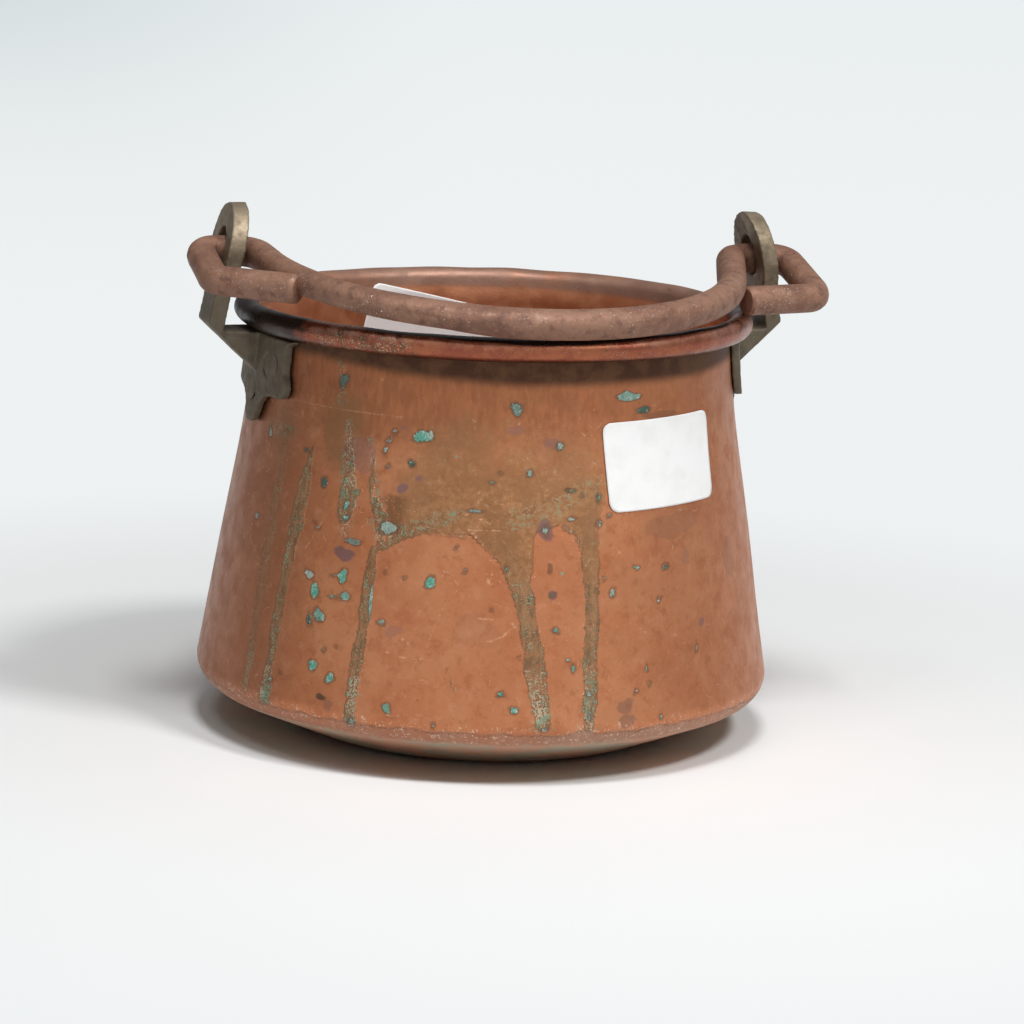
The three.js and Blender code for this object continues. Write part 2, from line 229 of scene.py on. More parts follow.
def round_pot(angle, radius, height):
    """Points at an angle round the pot, a radius and a height."""
    turn = np.radians(angle)
    return np.stack([radius * np.sin(turn), -radius * np.cos(turn), height], axis=-1)


# The pot


def wall_radius(height):
    """The wall's outer radius: a straight cone from the widest circle to the neck, and three sines."""
    share = (height - WIDEST_HEIGHT) / (NECK_HEIGHT - WIDEST_HEIGHT)
    sway = sum(size * np.sin((i + 1) * np.pi * share) for i, size in enumerate(WALL_SWAY))
    return WIDEST_RADIUS + (NECK_RADIUS - WIDEST_RADIUS) * share + sway


def wall_dents(angle, height):
    """How far the hand-raised wall stands out of true, in millimetres, fading at the base and ears."""
    whole = np.array([1, 2, 3, 4, 5, 7, 9])
    chance = np.random.default_rng(7)
    phases = chance.uniform(0, 2 * np.pi, (len(whole), 2))
    round_ = np.radians(angle)
    waves = sum(
        np.sin(k * round_ + a) * np.sin(height / (9 + 3 * k) + b) / np.sqrt(k)
        for k, (a, b) in zip(whole, phases)
    )
    beside_ears = 1 - 0.8 * bump(turn_between(2 * angle, 180) / 2, 24) * bump(height - 92, 16)
    rising = ramp(height, 2, 14)
    return DENT_DEPTH * waves * beside_ears * rising


def arc(centre, radius, start, end, steps):
    """Points of a circle's arc, with both ends."""
    turn = np.linspace(start, end, steps + 1)
    return np.stack([centre[0] + radius * np.cos(turn), centre[1] + radius * np.sin(turn)], axis=-1)


def line(start, end, steps):
    """Points of a straight run, without its end."""
    share = np.linspace(0, 1, steps, endpoint=False)[:, None]
    return np.array(start) + (np.array(end) - np.array(start)) * share


def inset(points, distance):
    """An open outline moved to its left by a distance, square to the mean of its neighbouring runs."""
    run = unit(np.gradient(points, axis=0))
    return points + distance * np.stack([-run[:, 1], run[:, 0]], axis=-1)


def pot_outline():
    """The sheet's outline as (radius, height): up the outside, round the wire, back and down the inside.

    Also a number for each point that says which face it is: 0 outside, 1 the roll, 2 inside.
    """
    heel = 1.6
    base = line((3, 0), (BASE_RADIUS - heel, 0), 6)
    heel_arc = arc((BASE_RADIUS - heel, heel), heel, -np.pi / 2, UNDERSIDE_SLOPE - np.pi / 2, 3)[:-1]
    heel_arc[:, 1] *= np.linspace(0.2, 1, 3)
    corner = arc(
        (WIDEST_RADIUS - CORNER_RADIUS, WIDEST_HEIGHT),
        CORNER_RADIUS, UNDERSIDE_SLOPE - np.pi / 2, 0, 12,
    )
    cone = line((BASE_RADIUS + 0.5, 0.4), corner[0], 14)
    heights = np.linspace(WIDEST_HEIGHT, NECK_HEIGHT, 100)[1:]
    wall = np.stack([wall_radius(heights), heights], axis=-1)
    outside = np.vstack([base, heel_arc, cone, corner, wall])
    rim = (ROLL_RADIUS, RIM_HEIGHT)
    under = arc(rim, CURL_INNER, np.pi, np.pi - CURL_SWEEP, 8)
    roll = arc(rim, CURL_OUTER, np.pi - CURL_SWEEP, np.pi, 24)
    inside = inset(outside, SHEET)[::-3]
    inside = inside[inside[:, 0] > 2.5]
    side = np.concatenate([
        np.zeros(len(outside) + len(under)), np.ones(len(roll)), np.full(len(inside), 2.0),
    ])
    return np.vstack([outside, under, roll, inside]), side


# Green and brown runs down the wall: strength, then the places passed, as (angle, height, half width)
RUNS = (
    (0.5, ((-68.5, 78, 0.2), (-68.5, 68, 1.6), (-68.5, 50, 2.2), (-68.5, 40, 1.9), (-68.5, 30, 1.7),
           (-68.7, 16, 1.4))),
    (1.0, ((-58.6, 78, 0.2), (-59.4, 73, 1.0), (-60, 66, 2.2), (-60.5, 60, 2.3), (-61, 50, 1.9),
           (-61.7, 40, 1.8), (-62, 30, 1.8), (-62.5, 20, 1.7), (-62.7, 15, 2.1))),
    (1.0, ((-47.2, 75, 0.3), (-47.6, 71, 1.5), (-47.5, 66, 2.4), (-47.7, 62, 2.1))),
    (0.9, ((-47, 67, 0.9), (-44.5, 68, 0.6))),
    (0.8, ((-42, 78, 0.5), (-42, 74, 0.5), (-41.8, 68, 0.6), (-41.3, 66, 0.7))),
    (1.0, ((-40.5, 66, 1.2), (-39, 63, 1.6), (-38.5, 60, 1.6))),
    (1.0, ((-38.2, 57.5, 0.8), (-39.6, 55, 1.2), (-40, 51, 1.4), (-40.2, 45, 1.4), (-40.3, 38, 1.4),
           (-41, 30, 1.8), (-41.3, 22, 1.7), (-41.5, 14, 1.6))),
    (1.0, ((-38, 56, 1.2), (-35, 58, 1.1), (-32, 59.5, 1.0), (-28, 61, 0.9), (-24, 63.5, 0.7))),
    (0.6, ((-31, 60, 0.4), (-26, 60, 0.5), (-20, 60, 0.4))),
    (1.0, ((-13.5, 61, 0.1), (-11, 56, 1.2), (-9.3, 51, 2.4), (-7.9, 46, 2.5), (-7.1, 42, 2.3),
           (-6.6, 38, 2.3), (-5.8, 34, 2.5), (-5.6, 30, 2.8), (-5.1, 26, 2.6), (-4.6, 22, 2.3),
           (-3.8, 17, 2.0))),
    (1.0, ((8.6, 74, 0.1), (7.2, 67, 1.2), (6.3, 59, 2.0), (6.5, 50, 2.0), (6.3, 40, 1.8), (5.8, 30, 1.8),
           (5.6, 22, 1.7), (5.2, 15, 1.6))),
    (0.8, ((0.5, 63, 0.5), (3, 61, 0.6), (4.6, 57, 0.6), (4.7, 50, 0.5))),
    (0.7, ((-22.5, 31, 0.1), (-20, 17, 0.12))),
)

# Wider ways with green and cream flecks: strength, then the places passed, as in the runs
FLECKS = (
    (0.9, ((-49.5, 84, 1.0), (-48.4, 76, 2.4), (-47.6, 66, 2.6), (-47.2, 58, 1.8))),
    (0.8, ((-43.5, 81, 0.8), (-41.5, 72, 1.2), (-39.3, 62, 2.6), (-38, 57, 2.0))),
    (0.7, ((-38, 58, 1.8), (-30, 62, 1.6), (-22, 65, 1.4))),
    (0.5, ((-76, 79, 1.8), (-66, 79, 1.8))),
    (0.6, ((-53, 97, 1.2), (-52, 89, 1.4))),
    (0.5, ((-10, 64, 2.5), (-2, 67, 2.5), (7, 72, 2.0))),
    (0.6, ((-4.9, 26, 1.5), (-3.8, 15, 2.5))),
    (0.8, ((-62.3, 24, 1.0), (-62.7, 13, 2.5))),
    (0.7, ((-41.2, 24, 1.5), (-41.5, 12, 1.8))),
)

# Verdigris and pale crusts: angle, height, half width, half height, lightness and how grey
CRUSTS = (
    (-52, 93.5, 1.3, 1.6, 0.4, 0.6), (-31, 82.5, 2.1, 1.5, 1, 0.1), (-29.3, 83, 0.9, 1.1, 0.8, 0.9),
    (-33, 76, 0.8, 0.9, 0.1, 0.3), (-37.5, 83, 0.9, 0.5, 0.7, 0.9), (-38.7, 81, 1.1, 0.5, 0.7, 0.9),
    (-39.5, 78.7, 0.7, 0.7, 1, 0.8), (-38.5, 74.8, 0.5, 0.5, 0.6, 0.6), (-61, 75.5, 0.8, 0.6, 0.1, 0.2),
    (-75.5, 77.5, 0.8, 1.4, 0.8, 1), (-68.7, 79.3, 3.0, 0.35, 0.8, 1), (-54.3, 69, 1.1, 1.1, 0.1, 0.3),
    (-54.3, 69, 0.5, 0.5, 1, 0.2), (-75, 57, 0.9, 0.8, 0.8, 1), (-54.3, 58, 0.6, 0.5, 0.8, 0.5),
    (-55.3, 59.2, 0.35, 0.35, 1, 0.5), (-44.7, 56.2, 2.4, 0.8, 0.5, 0.7), (-37, 60.5, 2.6, 1.3, 0.9, 0.7),
    (-47.5, 64.5, 0.8, 1.0, 0.7, 0.2), (-47.3, 61.5, 1.0, 0.7, 0.6, 0.2), (-41.2, 13.6, 0.9, 1.3, 0.7, 0.4),
    (-39.3, 42.5, 0.45, 5.5, 0.9, 0.5), (-54.7, 46.8, 1.4, 1.0, 1, 0.9), (-52.8, 43.2, 1.4, 1.6, 1, 0),
    (-46.3, 47.8, 1.3, 1.5, 1, 0.05), (-48.4, 47.5, 1.3, 0.4, 0.8, 0.2), (-45.3, 43.2, 1.3, 1.1, 1, 0.3),
    (-47.8, 42.4, 1.3, 0.4, 0.9, 0.3), (-51, 37.7, 1.5, 1.6, 0.7, 0.3), (-53.3, 36, 0.7, 1.3, 0.1, 0.3),
    (-51, 25.7, 1.6, 1.1, 0.9, 0.1), (-46.7, 23.5, 1.3, 1.1, 0.9, 0.1), (-48.7, 29.8, 0.45, 0.45, 0.8, 0.3),
    (-45.8, 31, 0.3, 0.3, 1, 0.3), (-58.8, 22.3, 0.3, 0.3, 1, 0.4), (-34, 18.3, 1.1, 1.2, 0.7, 0.3),
    (-24.7, 15.2, 0.5, 0.6, 1, 0.7), (-27, 48.7, 1.3, 1.3, 0.9, 0.05), (-32.5, 49.3, 0.4, 0.4, 0.8, 0.3),
    (-36.8, 50, 0.3, 0.3, 0.8, 0.3), (-36.5, 38.2, 0.9, 0.7, 0.7, 0.8), (-10, 90, 1.4, 1.6, 0.5, 0.6),
    (17, 92.5, 3.9, 1.1, 0.8, 0.5), (21.5, 89, 2.4, 0.8, 0.15, 0.2), (0, 81.3, 0.9, 0.9, 0.7, 0.7),
    (-6.8, 75, 0.8, 0.9, 0.7, 0.7), (-15, 72.7, 0.55, 0.45, 0.9, 0.1), (-13.3, 75, 0.5, 0.4, 0.8, 0.1),
    (4.9, 69.7, 0.45, 0.45, 0.9, 0.4), (8.6, 69, 0.7, 0.9, 0.6, 0.2), (2.5, 64.5, 1.2, 0.5, 0.7, 0.9),
    (8.5, 63, 0.7, 0.9, 0.9, 0.9), (11, 64.8, 0.45, 0.45, 0.8, 0.5), (-18.5, 66, 1.9, 0.5, 0.6, 0.9),
    (-3.5, 61.8, 0.8, 1.0, 1, 0.7), (-11.5, 53, 0.5, 0.5, 1, 0.2), (-20, 51.8, 0.6, 0.45, 0.7, 0.4),
    (-22, 57.2, 0.45, 0.45, 0.7, 0.4), (-2, 46.7, 0.6, 0.6, 0.9, 0.2), (-1.3, 38.3, 0.8, 0.7, 0.7, 0.2),
    (17, 52.2, 0.8, 0.5, 0.7, 0.3), (9.3, 50, 0.4, 0.4, 0.7, 0.3), (11, 46.5, 0.9, 1.0, 0.9, 0.8),
    (22.5, 44, 0.6, 0.6, 1, 0.9), (24.7, 51.5, 0.9, 0.7, 0.3, 0.3), (1.2, 31.3, 0.35, 0.35, 0.8, 0.3),
    (2.3, 29.3, 0.6, 1.0, 0.8, 0.2), (18.5, 28, 0.45, 0.6, 0.8, 0.2), (19, 24.2, 0.45, 0.45, 1, 0),
    (15.7, 22.8, 0.5, 0.5, 1, 0.9), (-12, 23.3, 0.8, 0.8, 0.6, 0.1), (-9.5, 19.7, 0.9, 1.0, 0.8, 0.2),
    (-14.2, 43, 0.3, 0.3, 0.8, 0.3), (-8.6, 32, 0.3, 0.3, 0.8, 0.3), (21.5, 16, 0.5, 0.5, 0.7, 0.4),
    (32.5, 30.8, 0.5, 0.8, 1, 0.7), (-3.4, 14.9, 1.0, 0.5, 0.9, 0.9), (-61.5, 20, 0.7, 0.8, 0.9, 0.6),
    (-62.4, 24, 0.6, 0.5, 0.9, 0.5), (5.4, 23, 0.7, 0.7, 1, 0.7), (5.6, 18, 0.6, 0.9, 1, 0.7),
)

# Stains: angle, height, half width, half height, strength and tone from purple (0) to dark brown (1)
STAINS = (
    (-34.8, 70, 1.6, 1.2, 0.75, 0), (-31, 72.7, 1, 0.9, 0.7, 0), (-35.8, 84, 0.8, 0.7, 0.6, 0),
    (-46.7, 53, 2.8, 1.7, 0.8, 0.2), (-48.3, 18.8, 1.8, 0.8, 0.9, 1), (-46.3, 17, 1.5, 1.4, 0.4, 0.5),
    (-34, 36.5, 2.4, 1.4, 0.3, 0), (-10, 85, 2, 1.2, 0.35, 0), (-2, 82, 2, 1.5, 0.4, 0.1),
    (2, 71, 1.8, 0.8, 0.8, 1), (-3.5, 61.8, 2, 2.4, 0.7, 0.2), (-2, 46.7, 1.1, 1.1, 0.7, 0.1),
    (34.7, 36.7, 1.5, 1.0, 0.6, 0), (13.3, 19.5, 2.2, 1.9, 0.45, 0.5), (13.5, 16, 2.2, 2.0, 0.45, 0.5),
    (-17, 38, 5, 4.5, 0.1, 0.7), (-45.5, 77, 5, 4, 0.3, 0), (-2.5, 53, 0.7, 1.3, 0.6, 1),
    (31, 53, 1.8, 1.8, 0.25, 0), (28, 61, 9, 3, 0.2, 0.6), (26, 87.5, 6, 0.8, 0.35, 0.8),
    (48, 50, 3, 6, 0.2, 0.5),
)

# Pale scratches: for each, the places passed, as (angle, height, half width)
SCRATCHES = (
    ((-67, 86.5, 0.15), (-36, 86.5, 0.2)), ((-15, 35.5, 0.2), (-12, 37, 0.25), (-9, 39.8, 0.2)),
    ((-20, 61.5, 0.1), (-12, 61.6, 0.15)), ((14, 40, 0.1), (22, 34, 0.15)), ((40, 70, 0.1), (46, 44, 0.12)),
    ((-28, 30, 0.1), (-24, 43, 0.12)), ((20, 66, 0.1), (38, 63, 0.12)), ((-57, 52, 0.1), (-52, 62, 0.12)),
    ((-35.5, 31.7, 0.2), (-31, 30.5, 0.25), (-25.4, 30.3, 0.2)), ((-17.7, 41.2, 0.2), (-10, 40.2, 0.2)),
    ((-34, 16.8, 0.25), (-27, 17.4, 0.3)), ((-21, 63, 0.2), (-17, 59, 0.25), (-13.5, 54.5, 0.2)),
    ((-11, 66, 0.2), (-15, 63.5, 0.25), (-21, 65.5, 0.2)), ((-30, 33.5, 0.2), (-33, 36, 0.2)),
)

# Broad brown clouds: angle, height, half width, half height and strength
CLOUDS = (
    (-51, 83, 10, 12, 0.85), (-50, 77, 9, 7, 0.9), (-70, 80, 6, 11, 0.8), (-31, 70, 8, 7, 0.5),
    (-22, 82, 16, 10, 0.75), (0, 80, 12, 8, 0.6), (14, 82, 8, 8, 0.4), (-8, 92, 16, 4, 0.5),
    (38, 80, 12, 7, 0.35), (-66, 45, 5, 30, 0.4),
)

# Lower border of the olive film in front: angle and height
FILM_BORDER = (
    (-42, 67), (-39, 58), (-35, 58.5), (-31, 60), (-28, 61), (-26, 60), (-19, 60), (-16, 57), (-13, 54),
    (-11, 49), (-6.5, 49), (-5.8, 61), (0.5, 63), (3, 61), (4.6, 57), (4.8, 49), (7.5, 49), (9, 64),
    (12, 74),
)

# Lower edge of the dark neck, a band of patina and painted shade under the roll: angle and height
NECK_EDGE = ((-180, 97), (-60, 98.6), (-40, 97.1), (-10, 95.6), (40, 95.8), (70, 97.5), (180, 97))

# Millimetres outside every mark at which a point counts as clean
FAR = 12.0


def wall_offset(angle, height, place):
    """Millimetres along the wall from a place, as (sideways, upwards)."""
    return np.radians(turn_between(angle, place[0])) * wall_radius(height), height - place[1]


def stroke_depth(angle, height, strokes):
    """Millimetres that a point lies inside the nearest tapering stroke, and that stroke's strength."""
    depth = np.full(angle.shape, -FAR)
    strength = np.zeros(angle.shape)
    for own, places in strokes:
        for start, end in zip(places, places[1:]):
            run = np.array(wall_offset(*end[:2], start))
            at = np.stack(wall_offset(angle, height, start), axis=-1)
            share = np.clip(at @ run / (run @ run), 0, 1)
            away = np.linalg.norm(at - share[..., None] * run, axis=-1)
            inside = start[2] + (end[2] - start[2]) * share - away
            strength = np.where(inside > depth, own, strength)
            depth = np.maximum(depth, inside)
    return depth, strength


def spot_depth(angle, height, spots):
    """Millimetres that a point lies inside the nearest uneven oval, and that spot's last two numbers."""
    depth = np.full(angle.shape, -FAR)
    strength = np.zeros(angle.shape)
    tone = np.zeros(angle.shape)
    for number, spot in enumerate(spots):
        sideways, upwards = wall_offset(angle, height, spot)
        around = np.arctan2(upwards, sideways)
        lobes = 1 + 0.13 * np.sin(2 * around + number) + 0.1 * np.sin(3 * around + 2.3 * number)
        inside = (spot[2] + spot[3]) / 2 * (1 - np.hypot(sideways / spot[2], upwards / spot[3]) / lobes)
        strength = np.where(inside > depth, spot[4], strength)
        tone = np.where(inside > depth, spot[5], tone)
        depth = np.maximum(depth, inside)
    return depth, strength, tone


def cloud_cover(angle, height, clouds):
    """How much of the brown clouds lies on a point of the wall, from 0 to about 1."""
    cover = np.zeros(angle.shape)
    for cloud in clouds:
        sideways, upwards = wall_offset(angle, height, cloud)
        cover = np.maximum(cover, cloud[4] * bump(np.hypot(sideways / cloud[2], upwards / cloud[3]), 1))
    return cover


def between(value, start, end, soft):
    """1 between the start and the end, and 0 outside them, with soft borders."""
    return np.clip((value - start) / soft + 0.5, 0, 1) * np.clip((end - value) / soft + 0.5, 0, 1)


def film_cover(angle, height):
    """The olive film in front: a crisp lower border, and a vague end upwards."""
    turn = turn_between(angle, 0)
    border = np.interp(turn, *zip(*FILM_BORDER), left=120, right=120)
    return ramp(height, border, 0.9) * ramp(height, 93, -26) * between(turn, -35, 11, 12)


def guessed_marks():
    """Chance runs, crusts, stains and clouds for the wall's hidden side, like those in front."""
    chance = np.random.default_rng(23)
    runs = []
    for place in (88, 101, 109, 137, 168, 176, 213, 236):
        top = chance.uniform(38, 80)
        half = chance.uniform(0.6, 2.6)
        middle = place + chance.uniform(-2, 2)
        end = middle + chance.uniform(-3, 3)
        runs.append((chance.uniform(0.4, 1), (
            (place, top, 0.05), (place, 0.86 * top, 0.7 * half), (middle, 0.6 * top, half),
            (end, 0.3 * top + 6, 0.7 * half), (end, 15, 0.8 * half),
        )))
    crusts = [
        (chance.uniform(68, 252), chance.uniform(15, 95), size, size * chance.uniform(0.7, 1.2),
         chance.uniform(0.35, 1), chance.uniform(0, 1))
        for size in chance.gamma(2.0, 0.3, 84) + 0.3
    ]
    stains = [
        (chance.uniform(72, 248), chance.uniform(18, 88), size, size * chance.uniform(0.6, 1.6),
         chance.uniform(0.2, 0.7), chance.uniform(0, 1))
        for size in chance.uniform(1, 4, 14)
    ]
    clouds = [
        (place, chance.uniform(66, 88), chance.uniform(9, 16), chance.uniform(6, 12),
         chance.uniform(0.4, 0.9))
        for place in (98, 126, 154, 190, 214, 240)
    ]
    return tuple(runs), tuple(crusts), tuple(stains), tuple(clouds)


def copper_pot():
    """The outline turned round Z, moved out by the dents, with the roll's height and girth uneven."""
    outline, side = pot_outline()
    columns = np.concatenate([np.linspace(*FRONT, endpoint=False), np.linspace(*BEHIND, endpoint=False)])
    angle, radius = np.meshgrid(columns, outline[:, 0])
    height = np.repeat(outline[:, 1:], len(columns), axis=1)
    side = np.repeat(side[:, None], len(columns), axis=1)
    tube = np.degrees(np.arctan2(height - RIM_HEIGHT, radius - ROLL_RADIUS))
    dents = wall_dents(angle, height)
    crease = bump(turn_between(angle, CREASE_ANGLE), 1.5) * ramp(tube, 100, 30)
    in_roll = ramp(height, NECK_HEIGHT, CURL_OUTER)
    girth = 1 - in_roll * (CREASE_DEPTH * crease / CURL_OUTER)
    uneven = 1 + ripple(np.radians(angle) * 6, np.zeros_like(angle), 11, 7, (4, 0))
    girth -= in_roll * ROLL_THINNING * uneven
    sag = -ROLL_SAG * (1 + ripple(np.radians(angle), np.zeros_like(angle), 5, 5, (4, 0))) * in_roll
    radius = np.where(in_roll > 0, ROLL_RADIUS + (radius - ROLL_RADIUS) * girth, radius) + dents
    height = np.where(in_roll > 0, RIM_HEIGHT + (height - RIM_HEIGHT) * girth + sag, height)
    points = round_pot(angle, radius, height)

    # Where the marks lie, kept with the mesh's points for the finish
    turn = turn_between(angle, 0)
    runs, crusts, stains, clouds = guessed_marks()
    run, run_depth = stroke_depth(angle, height, RUNS + runs)
    fleck, fleck_depth = stroke_depth(angle, height, FLECKS)
    bloom, bloom_depth, bloom_tone = spot_depth(angle, height, CRUSTS + crusts)
    stain, stain_depth, stain_tone = spot_depth(angle, height, STAINS + stains)
    neck_edge = np.interp(turn, *zip(*NECK_EDGE))
    # Painted shadow on the roll at the left ear, and a dark patch by the right ear that is partly painted
    # shadow
    ear_shadow_places = np.maximum(between(turn, -108, -60, 14), 0.75 * between(turn, 68, 88, 12))
    # Places on the roll with darker mottling and pale flecks
    mottled_places = between(turn, -60, -30, 8) + between(turn, 8, 22, 8) * 0.5 + between(turn, 52, 62, 8)
    # Band on the roll's top where the bail's painted shadow goes
    bail_shadow_band = between(tube, 64 - 28 * bump(turn + 3, 22), 150, 10)
    fields = dict(
        face=side, tube=tube,
        run=run, run_depth=run_depth,
        bloom=bloom, bloom_depth=bloom_depth, bloom_tone=bloom_tone,
        stain=stain, stain_depth=stain_depth, stain_tone=stain_tone,
        scratch=stroke_depth(angle, height, [(1, way) for way in SCRATCHES])[0],
        fleck=fleck, fleck_depth=fleck_depth,
        cloud=cloud_cover(angle, height, CLOUDS + clouds),
        film=film_cover(angle, height),
        film_edge=between(turn, -40, 6, 4) * (height < 68),
        # Darker copper towards the left: partly patina, partly painted shade
        left_patina_and_shade=between(turn, -125, -60, 14),
        # Height above the lower edge of the dark neck, a band of patina and painted shade under the roll
        neck_patina_and_shade=height - neck_edge,
        ear_shadow_and_patch=ear_shadow_places * ramp(tube, -75, 25) * (tube < 175),
        mottle=mottled_places,
        bail_shadow=between(turn, -44, 50, 10) * bail_shadow_band,
        rear=ramp(np.abs(turn), 80, 20),
    )
    piece = grid_piece(
        "copper_pot", points[:, ::-1][::-1], caps=(0, -1),
        **{name: values[::-1, ::-1] for name, values in fields.items()},
    )
    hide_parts("pot_body")
    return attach(piece, "pot")


# The ears


def plate_lean(side, height):
    """Degrees by which a plate's lower part stands further towards the front; only the left casting leans."""
    return PLATE_LEAN * ramp(height, LEAN_HEIGHT, -LEAN_GROWTH) * (side == "left")


def leaned(side, places):
    """Points of an ear turned round the pot by the plate's lean and by the draw of its front edge."""
    turn = np.degrees(np.arctan2(places[:, 0], -places[:, 1]))
    own = turn_between(turn, -90 if side == "left" else 90)
    plate = ramp(places[:, 2], SHELF_HEIGHT, -1.5)
    drawn = PLATE_DRAW * ramp(own, DRAW_START, DRAW_GROWTH) * plate * (side == "left")
    turned = turn + plate_lean(side, places[:, 2]) - drawn
    return round_pot(turned, np.hypot(places[:, 0], places[:, 1]), places[:, 2])


def cast_ear(side):
    """The ear's CAD shape in even cells, relaxed so that its edges are soft, with a cast unevenness."""
    name = f"{side}_ear"
    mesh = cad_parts[name].data.copy()
    piece = bpy.data.objects.new(f"cast_{name}", mesh)
    scene.collection.objects.link(piece)
    weld = piece.modifiers.new("weld", "WELD")
    weld.merge_threshold = 1e-6
    cells = piece.modifiers.new("cells", "REMESH")
    cells.mode = "VOXEL"
    cells.voxel_size = EAR_CELL * MM
    relax = piece.modifiers.new("relax", "SMOOTH")
    relax.factor = 0.5
    relax.iterations = 4
    shaped = bpy.data.meshes.new_from_object(piece.evaluated_get(bpy.context.evaluated_depsgraph_get()))
    piece.modifiers.clear()
    piece.data = shaped
    places = np.zeros(len(shaped.vertices) * 3)
    normals = np.zeros(len(shaped.vertices) * 3)
    shaped.vertices.foreach_get("co", places)
    shaped.vertices.foreach_get("normal", normals)
    places = places.reshape(-1, 3) / MM
    uneven = ripple(places[:, 0] + places[:, 1], places[:, 2], 21, 12, (0.9, 0.9))
    uneven += 0.5 * ripple(places[:, 1] - places[:, 0], places[:, 2] + places[:, 0], 22, 12, (2.2, 2.2))
    places += EAR_UNEVENNESS * (uneven[:, None] - 0.4) * normals.reshape(-1, 3)
    places = leaned(side, places)
    shaped.vertices.foreach_set("co", (places * MM).reshape(-1))
    shaped.shade_smooth()
    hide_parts(name)
    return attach(piece, "pot")


def wall_lean(height):
    """Angle of the wall's outward normal above the horizontal."""
    return math.atan2(wall_radius(height - 0.5) - wall_radius(height + 0.5), 1.0)


def peened_rivet(side, place, turn, height):
    """An outline turned about the rivet's axis: a flush, slightly domed end, a shank and an inside head."""
    face = GAP + PLATE_THICKNESS
    seat = -SHEET - GAP
    outline = np.array([
        (0.3, face + 0.01), (1.2, face), (2.4, face - 0.01), (RIVET_END - 0.04, face - 0.04),
        (RIVET_END, face - 0.3), (RIVET_SHANK, face - 1.1), (RIVET_SHANK, seat), (RIVET_HEAD, seat),
        (RIVET_HEAD + 0.05, seat - 0.35), (RIVET_HEAD - 0.25, seat - 0.7),
        (0.7 * RIVET_HEAD, seat - 0.98), (0.35 * RIVET_HEAD, seat - 1.08), (0.3, seat - 1.1),
    ])
    around = np.linspace(0, 2 * np.pi, RIVET_SIDES, endpoint=False)
    around, radius = np.meshgrid(around, outline[:, 0])
    along = np.repeat(outline[:, 1:], RIVET_SIDES, axis=1)
    seed = int(round(height)) + int(turn)
    radius = radius * (1 + 0.03 * ripple(around, along, seed + 90, 6, (3, 1)) * (radius > 2.5) * (along < 0))
    local = np.stack([radius * np.cos(around), radius * np.sin(around), along], axis=-1)
    base = 180.0 + plate_lean(side, height) if side == "left" else 0.0
    matrix = (
        Matrix.Rotation(math.radians(base + turn), 4, "Z")
        @ Matrix.Translation((wall_radius(height), 0, height))
        @ Matrix.Rotation(math.pi / 2 - wall_lean(height), 4, "Y")
    )
    turned = np.array(matrix)
    points = local @ turned[:3, :3].T + turned[:3, 3]
    piece = grid_piece(f"{side}_{place}_rivet", points[::-1], caps=(0, -1))
    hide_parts(f"{side}_rivet_{place}")
    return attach(piece, "pot")


# The bail


def axis_height(across):
    """Height of the bail's axis, which tilts, at a place along it."""
    return RIM_HEIGHT + AXIS_LIFT - across * math.tan(AXIS_TILT)


CROWN_RISE = math.sqrt((CURL_OUTER + GAP + ROD_RADIUS) ** 2 - CROWN_OUTSET ** 2)
BAIL_DROP = math.atan2(AXIS_LIFT - CROWN_RISE, ROLL_RADIUS + CROWN_OUTSET)
BAIL_REACH = math.hypot(AXIS_LIFT - CROWN_RISE, ROLL_RADIUS + CROWN_OUTSET)


def bail_point(across, forward, drop):
    """A point across along the axis, forward square to it and hanging by an angle."""
    return np.array([
        across, -forward * math.cos(drop), axis_height(across) - forward * math.sin(drop),
    ])


def bail_corners():
    """The bail's corners with their bend radii, from the left hook's end over the crown to the right's."""
    eye_inner = ARM_FOOT - (axis_height(0) - SHELF_HEIGHT) * math.tan(EAR_LEAN)
    eye_outer = eye_inner + EAR_THICKNESS
    leg = eye_inner - LEG_INSET
    crown = leg - CROWN_INSET
    centre = BAIL_REACH - crown

    def touch(side):
        across = leg - side * CROWN_SHIFT
        return math.acos(crown / math.hypot(across, centre)) - math.atan2(centre, across)

    def hook(side, outsets, near, dip, far, lift, inside):
        first, second = (side * (eye_outer + outset + ROD_RADIUS) for outset in outsets)
        return [
            (bail_point(side * (eye_inner - inside), far, HOOK_DROP) + (0, 0, lift), 0),
            (bail_point(first, near, HOOK_DROP) - (0, 0, dip), HOOK_BEND),
            (bail_point(second, 0, BAIL_DROP), HOOK_BEND),
            (bail_point(side * leg, 0, BAIL_DROP), LEG_BEND),
        ]

    left, right = touch(-1), touch(1)
    scale = crown / math.sin(left + right)
    apex = bail_point(
        CROWN_SHIFT + scale * (math.sin(left) - math.sin(right)),
        centre + scale * (math.cos(left) + math.cos(right)),
        BAIL_DROP,
    )
    return [*hook(**LEFT_HOOK), (apex, crown), *hook(**RIGHT_HOOK)[::-1]]


def rounded_route(corners, spacing):
    """Points at an even spacing on straight runs whose corners are rounded by arcs."""
    pieces = [corners[0][0][None]]
    for (before, _), (at, radius), (after, _) in zip(corners, corners[1:], corners[2:]):
        arriving, leaving = unit(at - before), unit(after - at)
        turn = math.acos(np.clip(arriving @ leaving, -1, 1))
        inward = unit(leaving - (arriving @ leaving) * arriving)
        start = at - arriving * radius * math.tan(turn / 2)
        angle = np.linspace(0, turn, 400)[:, None]
        pieces.append(start + radius * (np.sin(angle) * arriving + (1 - np.cos(angle)) * inward))
    pieces.append(corners[-1][0][None])
    rough = np.vstack(pieces)
    length = np.concatenate([[0], np.cumsum(np.linalg.norm(np.diff(rough, axis=0), axis=1))])
    even = np.linspace(0, length[-1], int(length[-1] / spacing))
    return np.stack([np.interp(even, length, rough[:, i]) for i in range(3)], axis=-1), even


